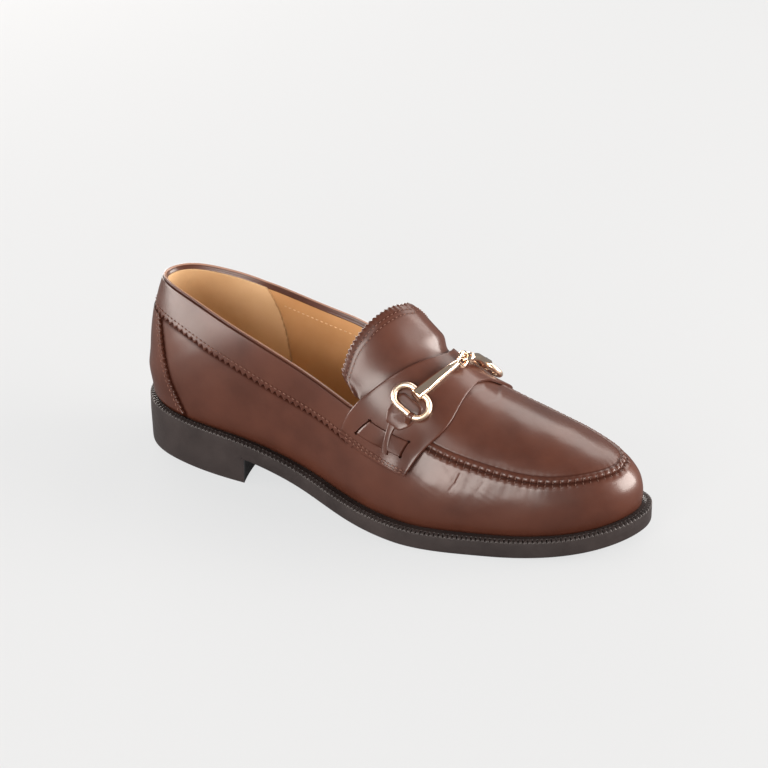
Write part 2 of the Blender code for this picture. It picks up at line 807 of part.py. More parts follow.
def link_frame():
    """The middle of the two linked eyes, and the way the bit runs through it to the medial side."""
    station = np.array(LINK_STATION)
    crown = np.array(1.0)
    middle = offset_wall(LATERAL, station, crown, np.array(LINK_LIFT))
    out = wall_normal(LATERAL, station, crown)
    ends = [ring_frame(name)[0] for name in SIDES]
    run = unit(ends[1] - ends[0])
    return middle, run, unit(out - run * (out @ run))


def make_bar(name):
    """A tapered bar, bored at its base for the ring and ending in an eye that links with the other bar's."""
    side = SIDES[name]
    ring_middle, along, up, leather_out = ring_frame(name)
    base = ring_middle + up * (RING_WIDTH - RING_WIRE) / 2
    link, run, out = link_frame()
    eye = link + run * side * EYE_PITCH / 2
    way = unit(eye - base)
    wide = unit(along - way * (along @ way))
    high = unit(leather_out - way * (leather_out @ way) - wide * (leather_out @ wide))
    taper = np.linalg.norm(eye - base) - EYE_RADIUS - BAR_OVERHANG
    sections = [bar_section(base - way * BAR_OVERHANG, wide, high, BAR_BASE)]
    for share in np.linspace(0, 1, BAR_STEPS):
        centre = base + way * (BAR_OVERHANG + taper * share) + high * BAR_ARCH * math.sin(math.pi * share)
        size = np.array(BAR_BASE) * (1 - share) + np.array(BAR_NECK) * share
        sections.append(bar_section(centre, wide, high, size))

    def build(bm):
        rows = add_grid(bm, sections, wrap_columns=True)
        bm.faces.new(rows[0])
        bm.faces.new(rows[-1])

    bar = new_object("bit_bar_" + name, build, "pale_gold", 30)
    side_way = np.cross(run, out)
    turn = unit(out * math.cos(EYE_TURN) + side * side_way * math.sin(EYE_TURN))
    loop = circle_points(eye, run, turn, EYE_RADIUS, EYE_POINTS)
    eye_ring = as_mesh(tube("eye_" + name, loop, EYE_WIRE / 2, "pale_gold"))
    add_cutter(eye_ring)
    combine(bar, eye_ring, "UNION")
    bore_radius = RING_WIRE / 2 + BORE_CLEAR
    ends = [base + along * BAR_BASE[0] * share for share in (-1, 1)]
    sides = [circle_points(end, up, np.cross(along, up), bore_radius, BORE_POINTS) for end in ends]

    def build_bore(bm):
        rows = add_grid(bm, sides, wrap_columns=True)
        bm.faces.new(rows[0])
        bm.faces.new(rows[-1])

    bore = new_object("bore_" + name, build_bore, "pale_gold")
    add_cutter(bore)
    combine(bar, bore, "DIFFERENCE")


def make_keeper(name):
    """The thong that lies on the saddle, passes over the ring's lower side and tucks in behind it."""
    side = SIDES[name]
    middle, _, up, _ = ring_frame(name)
    wire = middle - up * (RING_WIDTH - RING_WIRE) / 2
    station, rise, wire_lift = foot_of(side, wire, *(np.array(share) for share in RING_PLACE[name]))
    by_station, by_rise = wall_slopes(side, station, rise)
    rise_per_mm = 1 / np.linalg.norm(by_rise)
    half = KEEPER_WIDTH / 2 / np.linalg.norm(by_station)
    rest = SADDLE_LIFT + SADDLE_WALL + KEEPER_CLEAR
    over = wire_lift + RING_WIRE / 2 + KEEPER_CLEAR
    flank = RING_WIRE / 2 + KEEPER_CLEAR
    run = columns(KEEPER_COLUMNS, KEEPER_RUN)
    rises = rise + (run["flanks"] * flank + run["further"]) * rise_per_mm
    lifts = rest + run["climb"] * (over - rest)
    stations = station + half * np.linspace(-1, 1, KEEPER_ACROSS)
    rows = offset_wall(side, stations[None, :], rises[:, None], lifts[:, None])
    keeper = new_object("ring_keeper_" + name, lambda bm: add_grid(bm, rows), "brown_calf")
    direct_outwards(keeper, wall_normal(side, station, rise))
    thicken(keeper, KEEPER_WALL, outwards=True)


def direct_outwards(thing, out):
    """Turns an open sheet's faces so that they look away from the leather under it."""
    mesh = thing.data
    facing = sum(np.array(face.normal) * face.area for face in mesh.polygons)
    if facing @ out < 0:
        mesh.flip_normals()


def main():
    for thing in list(bpy.data.objects):
        bpy.data.objects.remove(thing)
    for name in ("horsebit_loafer", "cutters"):
        bpy.context.scene.collection.children.link(bpy.data.collections.new(name))
    station = np.linspace(0, 1, STATIONS + 1)
    make_outsole(station)
    make_welt(station)
    make_heel()
    make_insole(station)
    make_upper(station)
    make_tongue()
    make_saddle()
    make_backstay()
    for name in SIDES:
        make_ring(name)
        make_bar(name)
        make_keeper(name)


main()
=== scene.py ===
"""The looks of a right-foot horsebit loafer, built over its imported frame.

Sizes are millimetres in the shoe's own frame: x runs from the back of the heel to the toe, y towards the
inner (medial) side of the foot and z up from the floor. to_world moves them to the frame, in metres.

A point of the upper is named by its side (LATERAL or MEDIAL), its station, which is the share of the way
along that half of the sole's edge from the heel (0) to the toe (1), and its rise, which is the share of the
way up that wall line from the welt (0) to the ridge of the last (1). A lift is a height over that wall.
"""

import math

import bmesh
import bpy
import numpy as np
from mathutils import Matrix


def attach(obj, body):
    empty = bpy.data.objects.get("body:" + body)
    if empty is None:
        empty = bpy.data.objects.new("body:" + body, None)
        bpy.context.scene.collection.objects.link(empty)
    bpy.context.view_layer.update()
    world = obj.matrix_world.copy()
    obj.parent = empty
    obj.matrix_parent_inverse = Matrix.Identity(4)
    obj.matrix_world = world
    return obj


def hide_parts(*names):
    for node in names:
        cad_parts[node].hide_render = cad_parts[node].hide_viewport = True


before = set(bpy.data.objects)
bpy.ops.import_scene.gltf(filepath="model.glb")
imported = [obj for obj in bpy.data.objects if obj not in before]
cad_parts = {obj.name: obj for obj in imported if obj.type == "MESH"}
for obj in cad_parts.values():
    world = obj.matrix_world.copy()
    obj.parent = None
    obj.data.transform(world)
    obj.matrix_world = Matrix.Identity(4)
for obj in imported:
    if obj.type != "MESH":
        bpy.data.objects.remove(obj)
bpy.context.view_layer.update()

MM = 0.001
LATERAL = -1
MEDIAL = 1
SIDES = {"lateral": LATERAL, "medial": MEDIAL}

# Sole
SHOE_LENGTH = 262.0
TOE_TIP_Y = 4.5
FOREFOOT_FLAT = (158.0, 202.0)
TOE_SPRING = 9.0
OUTSOLE_THICKNESS = 4.6
WELT_THICKNESS = 4.2
SEAT_GAP = 0.3

# Heel
HEEL_LENGTH = 68.0
BREAST_RAKE = 0.5
BREAST_HOLLOW = 4.5

# Leather
UPPER_WALL = 2.0
TONGUE_SINK = 0.3
TONGUE_SWELL = 2.3
TONGUE_SWELL_START = 0.002
INSOLE_STEP = 2.0
INSOLE_CLEAR = 0.5
WELT_LAP = 0.2

# Bit
RING_LENGTH = 21.0
RING_WIDTH = 13.8
RING_WIRE = 2.8
RING_LIFT = 4.9
RING_PLACE = {"lateral": (0.543, 0.628), "medial": (0.588, 0.650)}
BAR_BASE = (5.6, 4.6)
BAR_NECK = (2.8, 2.6)
BAR_OVERHANG = 2.8
BAR_END = ((0.0, 0.35), (0.08, 0.16), (0.3, 0.0))
BAR_ARCH = 1.3
BAR_CHAMFER = 0.25
EYE_RADIUS = 3.2
EYE_WIRE = 2.0
EYE_PITCH = 3.7
EYE_TURN = math.radians(45)
LINK_STATION = 0.530
LINK_LIFT = 7.0

# Station of the throat, where the topline ends
THROAT = 26 / 48

# Half widths of the sole by distance from the heel
SOLE_COLUMNS = ("x", "lateral", "medial")
SOLE_WIDTHS = (
    (8.5, 18.6, 18.6),
    (29.0, 29.3, 28.0),
    (61.0, 33.9, 28.0),
    (99.0, 35.5, 26.5),
    (134.0, 45.5, 33.4),
    (164.0, 50.0, 41.2),
    (194.0, 43.5, 43.3),
    (221.0, 34.3, 38.3),
    (244.0, 22.9, 28.8),
    (257.0, 10.0, 18.8),
)

# Height of the sole's underside from the heel seat to the forefoot
ARCH_COLUMNS = ("x", "height")
ARCH = (
    (0.0, 15.9),
    (30.0, 14.9),
    (62.0, 13.9),
    (90.0, 8.6),
    (120.0, 2.1),
    (148.0, 0.25),
    (158.0, 0.0),
)

# Top of the last: its height and how far it sways to the medial side
RIDGE_COLUMNS = ("x", "sway", "height")
RIDGE = (
    (49.0, -1.0, 118.0),
    (79.0, -0.6, 117.0),
    (109.0, -0.2, 110.0),
    (136.0, 0.2, 96.5),
    (156.0, 0.6, 77.5),
    (169.0, 1.0, 68.0),
    (179.0, 1.4, 62.0),
    (191.0, 2.0, 56.5),
    (207.0, 3.0, 51.2),
    (223.0, 4.0, 47.2),
    (239.0, 4.8, 42.6),
)

# Wall sections: where each line meets the ridge, how far it climbs before turning in, how it leans out at
# the welt, how broad the crown is and how far the welt stands out
WALL_COLUMNS = ("station", "ridge_x", "climb", "lean_lateral", "lean_medial", "crown", "welt")
WALL = (
    (0.00, 52.0, 0.62, 7.5, 7.5, 0.80, 3.2),
    (0.12, 65.0, 0.60, 7.5, 6.5, 0.80, 3.6),
    (0.25, 91.0, 0.57, 7.0, 5.5, 0.76, 4.8),
    (0.36, 119.0, 0.54, 7.0, 6.0, 0.72, 5.4),
    (0.46, 147.0, 0.52, 8.0, 8.0, 0.70, 5.8),
    (0.56, 171.0, 0.54, 9.0, 9.0, 0.67, 6.0),
    (0.66, 190.0, 0.58, 8.5, 9.0, 0.66, 6.0),
    (0.78, 210.0, 0.63, 8.0, 9.0, 0.66, 5.6),
    (0.90, 228.0, 0.68, 7.0, 7.5, 0.67, 5.0),
    (1.00, 236.0, 0.70, 6.5, 6.5, 0.67, 4.8),
)

# How far the walls sway to the medial side at the topline. Stations of the medial side are negative.
SWAY_COLUMNS = ("station", "sway")
SWAY = (
    (-0.54, 0.0),
    (-0.48, 1.5),
    (-0.44, 3.6),
    (-0.40, 4.7),
    (-0.36, 4.2),
    (-0.32, 2.9),
    (-0.28, 2.1),
    (-0.24, 1.6),
    (-0.20, 0.6),
    (-0.16, -1.0),
    (-0.12, -2.2),
    (-0.08, -1.6),
    (-0.04, 0.6),
    (0.00, 3.2),
    (0.04, 6.2),
    (0.08, 9.4),
    (0.12, 11.6),
    (0.16, 11.9),
    (0.20, 10.5),
    (0.24, 7.7),
    (0.28, 4.2),
    (0.32, 1.0),
    (0.36, -0.9),
    (0.40, -1.2),
    (0.44, -0.5),
    (0.48, 0.0),
    (0.54, 0.0),
)
SWAY_RISE = 0.5
SWAY_END = 0.9

# How far the heel's back bulges out above the welt, and the stations and rises over which it does
HEEL_BULGE = 1.2
BULGE_STATIONS = 0.1
BULGE_RISES = (0.085, 0.035)

# Height of the topline, and how much lower it runs on the medial side
TOPLINE_COLUMNS = ("x", "height", "medial_drop")
TOPLINE = (
    (4.0, 85.0, 0.0),
    (11.0, 85.4, 0.0),
    (24.0, 83.9, 0.0),
    (49.0, 79.0, 0.2),
    (74.0, 74.2, -1.6),
    (99.0, 67.6, -3.4),
    (119.0, 60.6, -3.5),
    (131.0, 56.2, -2.4),
    (146.0, 51.2, -1.4),
)

# Rise of the apron seam round the toe
SEAM_COLUMNS = ("station", LATERAL, MEDIAL)
SEAM = (
    (0.60, 0.470, 0.735),
    (0.68, 0.448, 0.684),
    (0.76, 0.422, 0.643),
    (0.82, 0.424, 0.618),
    (0.88, 0.478, 0.592),
    (0.94, 0.560, 0.606),
    (1.00, 0.655, 0.655),
)

# Stations of the saddle's rear and front edges
SADDLE_COLUMNS = ("rise", ("rear", LATERAL), ("front", LATERAL), ("rear", MEDIAL), ("front", MEDIAL))
SADDLE = (
    (0.25, 0.453, 0.584, 0.506, 0.626),
    (0.35, 0.460, 0.592, 0.514, 0.635),
    (0.45, 0.473, 0.600, 0.523, 0.642),
    (0.55, 0.486, 0.610, 0.530, 0.652),
    (0.65, 0.495, 0.614, 0.532, 0.650),
    (0.75, 0.502, 0.608, 0.530, 0.636),
    (0.85, 0.506, 0.597, 0.525, 0.613),
    (0.94, 0.506, 0.586, 0.514, 0.593),
    (1.00, 0.502, 0.577, 0.502, 0.577),
)
SADDLE_FOOT = (0.247, 0.284)

# Stations of the tongue's free edge
TONGUE_COLUMNS = ("rise", LATERAL, MEDIAL)
TONGUE = (
    (0.437, 0.462, 0.505),
    (0.455, 0.440, 0.494),
    (0.490, 0.430, 0.486),
    (0.560, 0.428, 0.481),
    (0.660, 0.428, 0.476),
    (0.780, 0.428, 0.465),
    (0.850, 0.4265, 0.453),
    (0.920, 0.423, 0.436),
    (1.000, 0.4185, 0.4185),
)
TONGUE_SIDE_GAP = 0.014
TONGUE_BUTT = 0.002

# Rise above which normals turn to the ridge's own
CROWN_START = 0.95

# Rises between which the topline is looked for
TOPLINE_SEARCH = (0.15, 0.95)

# Half width of the backstay, in stations
BACKSTAY_COLUMNS = ("rise", "station")
BACKSTAY = (
    (0.012, 0.150),
    (0.055, 0.137),
    (0.129, 0.112),
    (0.229, 0.0865),
    (0.289, 0.070),
)


def columns(names, rows):
    """A table's columns by name."""
    return dict(zip(names, np.array(rows).T))


def spline(at, values, ends="natural"):
    """Cubic spline through a table. Its ends are natural, level or closed on each other."""
    at = np.asarray(at, float)
    values = np.asarray(values, float).reshape(len(at), -1)
    count = len(at)
    step = np.diff(at)
    slope = np.diff(values, axis=0) / step[:, None]
    matrix = np.zeros((count, count))
    right = np.zeros((count, values.shape[1]))
    for row in range(1, count - 1):
        matrix[row, row - 1 : row + 2] = step[row - 1], 2 * (step[row - 1] + step[row]), step[row]
        right[row] = 6 * (slope[row] - slope[row - 1])
    if ends == "closed":
        matrix[0, [0, 1, -2]] = 2 * (step[0] + step[-1]), step[0], step[-1]
        right[0] = 6 * (slope[0] - slope[-1])
        matrix[-1, [0, -1]] = 1, -1
    elif ends == "level":
        matrix[0, :2] = 2 * step[0], step[0]
        right[0] = 6 * slope[0]
        matrix[-1, -2:] = step[-1], 2 * step[-1]
        right[-1] = -6 * slope[-1]
    else:
        matrix[0, 0] = matrix[-1, -1] = 1
    bend = np.linalg.solve(matrix, right)

    def value(where):
        where = np.clip(np.asarray(where, float), at[0], at[-1])
        left = np.clip(np.searchsorted(at, where, side="right") - 1, 0, count - 2)
        width = step[left][..., None]
        before = (at[left + 1] - where)[..., None] / width
        after = 1 - before
        cubic = (before**3 - before) * bend[left] + (after**3 - after) * bend[left + 1]
        result = before * values[left] + after * values[left + 1] + cubic * width**2 / 6
        return result[..., 0] if values.shape[1] == 1 else result

    return value


def curves(names, rows, ends="natural"):
    """Splines of a table's columns by name, over its first column."""
    at, *values = np.array(rows).T
    return {name: spline(at, value, ends) for name, value in zip(names[1:], values)}


def unit(vector):
    return vector / np.linalg.norm(vector, axis=-1, keepdims=True)


def ease(share):
    """A smooth step from 0 to 1."""
    share = np.clip(share, 0, 1)
    return share * share * (3 - 2 * share)


def bell(distance, width):
    """A smooth hump: 1 in the middle, towards 0 beyond its width."""
    return np.exp(-((distance / width) ** 2))


def signed_power(value, power):
    return np.sign(value) * np.abs(value) ** power


def running_length(points):
    """Length along rows of points, from the first to each."""
    steps = np.linalg.norm(np.diff(points, axis=-2), axis=-1)
    start = np.zeros(steps.shape[:-1] + (1,))
    return np.concatenate([start, np.cumsum(steps, axis=-1)], axis=-1)


class SoleEdge:
    """The closed outline of the sole, walked from the heel to the toe along either half."""

    SAMPLES = 4000

    def __init__(self):
        table = columns(SOLE_COLUMNS, SOLE_WIDTHS)
        lateral = np.column_stack([table["x"], -table["lateral"]])
        medial = np.column_stack([table["x"], table["medial"]])
        heel_back = [(0.0, 0.0)]
        toe_tip = [(SHOE_LENGTH, TOE_TIP_Y)]
        points = np.vstack([heel_back, lateral, toe_tip, medial[::-1], heel_back])
        chord = running_length(points)
        self.curve = spline(chord, points, "closed")
        self.period = chord[-1]
        self.parameter = np.linspace(0, self.period, self.SAMPLES + 1)
        outline = self.curve(self.parameter)
        self.length = running_length(outline)
        self.toe_length = self.length[np.argmax(outline[:, 0])]
        self.middle = (outline.max(axis=0) + outline.min(axis=0)) / 2

    def walk(self, side, station):
        """The edge point at a station, and the outward direction there."""
        lateral_way = station * self.toe_length
        medial_way = self.length[-1] - station * (self.length[-1] - self.toe_length)
        way = np.where(np.asarray(side) < 0, lateral_way, medial_way)
        parameter = np.interp(way, self.length, self.parameter)
        reach = self.period / self.SAMPLES
        ahead = self.curve((parameter + reach) % self.period)
        behind = self.curve((parameter - reach) % self.period)
        along = unit(ahead - behind)
        outward = np.stack([along[..., 1], -along[..., 0]], axis=-1)
        return self.curve(parameter), outward


EDGE = SoleEdge()
ARCH_HEIGHT = curves(ARCH_COLUMNS, ARCH)["height"]
WALL_AT = curves(WALL_COLUMNS, WALL, "level")
SWAY_AT = curves(SWAY_COLUMNS, SWAY)["sway"]
RIDGE_AT = curves(RIDGE_COLUMNS, RIDGE)
TOPLINE_TABLE = columns(TOPLINE_COLUMNS, TOPLINE)
TOPLINE_HEIGHT = curves(TOPLINE_COLUMNS, TOPLINE)["height"]
SEAM_AT = curves(SEAM_COLUMNS, SEAM)
SADDLE_AT = curves(SADDLE_COLUMNS, SADDLE)
TONGUE_AT = curves(TONGUE_COLUMNS, TONGUE)
BACKSTAY_EDGE = curves(BACKSTAY_COLUMNS, BACKSTAY)["station"]


def underside(x):
    """Height of the sole's underside: heel seat and arch, a flat forefoot, then the toe spring."""
    flat_start, flat_end = FOREFOOT_FLAT
    arch = np.where(x < flat_start, np.maximum(ARCH_HEIGHT(x), 0), 0)
    spring = np.clip((x - flat_end) / (SHOE_LENGTH - flat_end), 0, None)
    return arch + TOE_SPRING * spring**2


def welt_top(x):
    return underside(x) + OUTSOLE_THICKNESS + SEAT_GAP + WELT_THICKNESS


def edge_points(side, station, inset, height):
    """Points a given inset inside the sole's edge, at a height worked out from the edge's x."""
    point, outward = EDGE.walk(side, station)
    inset = np.asarray(inset, float)
    flat = point - outward * inset[..., None]
    return np.concatenate([flat, height(point[..., 0])[..., None]], axis=-1)


def ridge_point(x):
    return np.stack([x, RIDGE_AT["sway"](x), RIDGE_AT["height"](x)], axis=-1)


def ridge_slope(x):
    return RIDGE_AT["height"](x + 0.5) - RIDGE_AT["height"](x - 0.5)


def sway(side, station, rise):
    """How far a wall point moves to the medial side: most at the topline, none at the welt and the ridge."""
    reach = SWAY_AT(-side * station) * ease(rise / SWAY_RISE)
    return reach * (1 - ease((rise - SWAY_RISE) / (SWAY_END - SWAY_RISE)))


def wall(side, station, rise):
    """A point of the upper's outer surface: a cubic from the welt, up the wall and over to the ridge."""
    side, station, rise = np.broadcast_arrays(side, station, rise)
    welt_line = edge_points(side, station, WALL_AT["welt"](station), lambda x: welt_top(x) + SEAT_GAP)
    outward = EDGE.walk(side, station)[1]
    x = WALL_AT["ridge_x"](station)
    crown = ridge_point(x)
    across = crown[..., :2] - welt_line[..., :2]
    reach = np.linalg.norm(across, axis=-1)
    across = across / reach[..., None]
    climb = WALL_AT["climb"](station) * (crown[..., 2] - welt_line[..., 2])
    lean_degrees = np.where(side < 0, WALL_AT["lean_lateral"](station), WALL_AT["lean_medial"](station))
    lean = climb * np.tan(np.radians(lean_degrees))
    shoulder = welt_line + np.concatenate([outward * lean[..., None], climb[..., None]], axis=-1)
    level = np.concatenate([across, (ridge_slope(x) * across[..., 0])[..., None]], axis=-1)
    brow = crown - level * (WALL_AT["crown"](station) * reach)[..., None]
    up = rise[..., None]
    down = 1 - up
    point = down**3 * welt_line + 3 * down**2 * up * shoulder + 3 * down * up**2 * brow + up**3 * crown
    bulge = bell(station, BULGE_STATIONS) * bell(rise - BULGE_RISES[0], BULGE_RISES[1])
    point[..., 0] -= HEEL_BULGE * bulge
    point[..., 1] += sway(side, station, rise)
    return point


def wall_slopes(side, station, rise, small=1e-3):
    """How a wall point moves with the station and with the rise; past the heel or toe lies the other side."""
    side, station, rise = np.broadcast_arrays(side, np.asarray(station, float), np.asarray(rise, float))
    low = station - small
    high = station + small
    before = wall(np.where(low < 0, -side, side), np.abs(low), rise)
    after = wall(np.where(high > 1, -side, side), 1 - np.abs(1 - high), rise)
    by_rise = (wall(side, station, rise + small) - wall(side, station, rise - small)) / (2 * small)
    return (after - before) / (2 * small), by_rise


def wall_scale(side, station, rise):
    """How much wall a whole station and a whole rise would cover."""
    return [np.linalg.norm(slope, axis=-1) for slope in wall_slopes(side, station, rise)]


def wall_normal(side, station, rise):
    """Outward normal of the wall, level across the ridge."""
    side, station, rise = np.broadcast_arrays(side, np.asarray(station, float), np.asarray(rise, float))
    by_station, by_rise = wall_slopes(side, station, rise)
    normal = -side[..., None] * np.cross(by_station, by_rise)
    normal = normal / np.maximum(np.linalg.norm(normal, axis=-1, keepdims=True), 1e-9)
    slope = ridge_slope(WALL_AT["ridge_x"](station))
    crown = unit(np.stack([-slope, 0 * slope, 0 * slope + 1], axis=-1))
    share = ease((rise - CROWN_START) / (1 - CROWN_START))[..., None]
    return unit(normal * (1 - share) + crown * share)


def offset_wall(side, station, rise, lift):
    """A wall point moved out along the normal."""
    return wall(side, station, rise) + wall_normal(side, station, rise) * np.asarray(lift)[..., None]


def topline_height(side, x):
    drop = np.interp(x, TOPLINE_TABLE["x"], TOPLINE_TABLE["medial_drop"])
    return TOPLINE_HEIGHT(x) - (drop if side == MEDIAL else 0)


def find_topline(side, station):
    """Where a wall line reaches the topline, found by halving."""
    low, high = (np.full(np.shape(station), end) for end in TOPLINE_SEARCH)
    for _ in range(40):
        middle = (low + high) / 2
        point = wall(side, station, middle)
        below = point[..., 2] < topline_height(side, point[..., 0])
        low = np.where(below, middle, low)
        high = np.where(below, high, middle)
    return low


TOPLINE_STATIONS = np.linspace(0, THROAT, 500)
TOPLINE_RISES = {side: find_topline(side, TOPLINE_STATIONS) for side in SIDES.values()}


def topline_rise(side, station):
    """Where a wall line reaches the topline."""
    return np.interp(station, TOPLINE_STATIONS, TOPLINE_RISES[side])


def split_rise(side, station):
    """The row that follows the topline behind the throat and the apron seam in front of it."""
    station = np.asarray(station, float)
    top = topline_rise(side, np.minimum(station, THROAT))
    seam_start = SEAM[0][0]
    share = ease((station - THROAT) / (seam_start - THROAT))
    return top + (SEAM_AT[side](station) - top) * share


def to_world(points):
    points = np.asarray(points, float)
    return (points - np.append(EDGE.middle, 0)) * MM


# Leather of the looks: thickness of the upper, lifts and walls of the layers on and under it
UPPER_LEATHER = 1.1
LEATHER_RIM = 0.5
LINING_LIFT = -1.25
LINING_WALL = 0.5
COUNTER_LIFT = -1.5
COUNTER_WALL = 1.3
LINING_TOP_GAP = 1.9
BAND_WALL = 0.75
BAND_END = 0.012
BAND_STOP = {LATERAL: 0.467, MEDIAL: 0.519}
SADDLE_BASE = 0.65
SADDLE_TOP = 2.0
SADDLE_GIRTH = 190.0
SADDLE_LENGTH = 36.0
SADDLE_ROWS = (2.0, 3.9)
SLIT_WIDTH = 0.7
TONGUE_LEATHER = 1.2
TONGUE_LINING = 0.9
TONGUE_CREST = 3.2
TONGUE_CURL = 1.3
TONGUE_LENGTH = 45.0
TONGUE_ROWS = (4.0, 6.4)
TONGUE_CURL_LENGTH = 7.0
BACKSTAY_BOTTOM = 0.0
BACKSTAY_TOP = 1.2
BACKSTAY_ROW = 2.2
BAND_ROW = 2.6
LINING_ROW = 9.0
LINING_ROW_START = 0.245
SADDLE_STEP = 0.9
SKIRT_TUCK = 3.5
WELT_TUCK = 0.8

# Rows of stitches: pitch and the thread's radius
BAND_SEWING = (2.6, 0.3)
BACKSTAY_SEWING = (2.4, 0.24)
TONGUE_SEWING = (2.3, 0.22)
SADDLE_SEWING = (2.5, 0.3)
LINING_SEWING = (2.6, 0.3)

# Small repeats: pitch and depth
APRON_STITCH = 3.5
BAND_TOOTH = (3.5, 2.1)
TONGUE_TOOTH = (2.4, 0.8)
BACKSTAY_TOOTH = (2.8, 1.3)
WELT_NOTCH = (2.2, 0.8)
NOTCH_COLUMNS = 6

# Lower edge of the collar band on the lateral side
BAND_COLUMNS = ("station", "rise")
BAND_EDGE = (
    (0.000, 0.293),
    (0.050, 0.292),
    (0.105, 0.285),
    (0.188, 0.254),
    (0.245, 0.237),
    (0.339, 0.226),
    (0.412, 0.236),
    (0.470, 0.243),
)

# Roll of the apron's edge: height by the distance in from the seam
ROLL_COLUMNS = ("reach", "height")
APRON_ROLL = (
    (0.0, 0.05),
    (0.25, 0.50),
    (0.6, 0.90),
    (1.1, 1.15),
    (1.7, 1.20),
    (2.4, 0.95),
    (3.0, 0.60),
    (3.4, 0.42),
    (3.9, 0.44),
    (5.0, 0.48),
    (7.0, 0.45),
    (9.0, 0.42),
    (12.0, 0.42),
)

# Skirt below the apron's edge: height by the distance down from the seam
SKIRT_ROLL = (
    (-2.0, -0.35),
    (0.0, -0.20),
    (0.4, -0.12),
    (0.9, 0.10),
    (1.6, 0.30),
    (2.6, 0.40),
    (4.0, 0.30),
    (6.5, 0.10),
    (9.0, 0.02),
    (12.0, 0.00),
)

# Creases by the saddle's front corner: both ends, depth and half width
CREASES = (
    ((184.0, -36.2, 37.3), (182.9, -38.1, 33.6), 0.07, 0.45),
    ((182.9, -38.1, 33.6), (180.6, -40.1, 30.0), 0.06, 0.45),
    ((195.1, -33.6, 34.8), (193.0, -35.8, 31.0), 0.05, 0.45),
    ((176.1, -35.8, 42.4), (180.1, -35.2, 41.4), 0.05, 0.45),
    ((176.0, -37.1, 40.3), (178.2, -37.6, 38.2), 0.05, 0.45),
    ((178.2, -37.6, 38.2), (181.4, -37.6, 35.2), 0.04, 0.45),
)

# Middle (x, z) of the finely rippled leather round the creases, and the ripple's depth
FLEXED = (186, 34)
RIPPLE_DEPTH = 0.05

# Front edge of the counter's lining
COUNTER_COLUMNS = ("rise", "station")
COUNTER_EDGE = (
    (0.000, 0.282),
    (0.108, 0.2695),
    (0.2685, 0.242),
    (0.3345, 0.221),
    (0.420, 0.188),
)

# Weave on the saddle: its strap's size, then places as (across, along) shares of the saddle
WEAVE_SIZE = (20.0, 9.0)
WEAVE_SLITS = (((0.777, 0.245), (0.925, 0.190)), ((0.744, 0.774), (0.890, 0.825)))
WEAVE_THONG = ((0.700, 0.465), (0.738, 0.480), (0.887, 0.600), (0.905, 0.615))

# Threads over the apron's seam: distances from the seam and heights over the leather
APRON_THREAD = np.array((0.3, 0.5, 0.8, 1.1, 1.4, 1.7))
SKIRT_THREAD = np.array((-0.4, -0.6, -0.8, -1.0, -1.2, -1.4))
THREAD_LIFT = np.array((-0.2, 0.1, 0.2, 0.2, 0.1, -0.2))
THREAD_RADIUS = 0.26

# Lower edge of the collar band: distance up from it, share of the pinking and drop below the band's face
BAND_PROFILE = (
    (0.0, 1.0, 0.75),
    (0.0, 1.0, 0.30),
    (0.1, 1.0, 0.12),
    (0.35, 1.0, 0.0),
    (1.2, 0.6, 0.0),
    (2.1, 0.1, 0.0),
    (2.4, 0.0, 0.0),
    (2.6, 0.0, 0.0),
    (2.8, 0.0, 0.0),
    (3.5, 0.0, 0.0),
)

# Bead along the topline: distances down from it and lifts, outside then inside
BEAD_RADIUS = 0.75
BEAD_FLAT = 0.6
BEAD_OUTSIDE = ((2.0, 0.75), (1.7, 0.72), (1.5, 0.50), (1.35, 0.28), (1.15, 0.28), (0.98, 0.46), (0.75, 0.56))
BEAD_INSIDE = ((1.1, -1.4), (1.5, -1.8), (2.0, -2.12), (2.5, -2.1))
BEAD_RETURN = ((2.5, -1.8), (1.8, -1.5), (1.3, -1.0), (1.3, -0.05))

# Pad of the ring's keeper: share of its outline and height
KEEPER_PAD = ((1.0, 0.0), (0.995, 0.3), (0.975, 0.6), (0.93, 0.85), (0.82, 1.0), (0.45, 1.05), (0.02, 1.1))
PAD_MIDDLE = -6.0
PAD_HALF = (7.0, 7.6)
PAD_ROUND = 0.4
PAD_NARROWS = -7.0

# Loop of the keeper: distances up from the ring's middle and lifts, then its section
KEEPER_LOOP = (
    (-9.0, 2.6),
    (-8.0, 3.6),
    (-7.2, 5.4),
    (-6.3, 6.5),
    (-5.4, 6.8),
    (-4.5, 6.4),
    (-3.8, 5.0),
    (-3.4, 3.4),
    (-3.0, 2.2),
)
LOOP_MIDDLE = 4.4
LOOP_LEATHER = 0.7
LOOP_ACROSS = np.array((-1.3, -1.1, -0.6, 0, 0.6, 1.1, 1.3))
LOOP_EDGE = np.array((-0.35, -0.08, 0, 0, 0, -0.08, -0.35))
THONG_ACROSS = np.array((-1.0, -0.92, -0.6, 0, 0.6, 0.92, 1.0))
THONG_EDGE = np.array((-0.4, -0.1, 0, 0, 0, -0.1, -0.4))

# Outsole's edge: inset and height over the underside
OUTSOLE_EDGE = ((1.0, 0.0), (0.5, 0.13), (0.13, 0.5), (0.0, 1.0), (0.0, 2.4))

# Welt's edge: inset, height from its top and share of a notch's depth
WELT_EDGE = (
    (0.0, -4.2, 0.0),
    (0.0, -1.3, 0.0),
    (0.0, -0.8, 0.3),
    (0.12, -0.4, 0.8),
    (0.4, -0.12, 1.0),
    (0.9, 0.0, 1.0),
    (1.7, 0.0, 1.0),
    (2.5, 0.0, 0.9),
    (2.8, -0.1, 0.2),
    (3.1, -0.35, 0.0),
)

# Heel block: share of its height and inset
HEEL_LEVELS = ((1.0, 0.0), (0.8, 0.1), (0.5, 0.3), (0.2, 0.45), (0.06, 0.55), (0.02, 0.65), (0.0, 1.0))

# Points closer than this, in metres, are welded
WELD = 5e-6


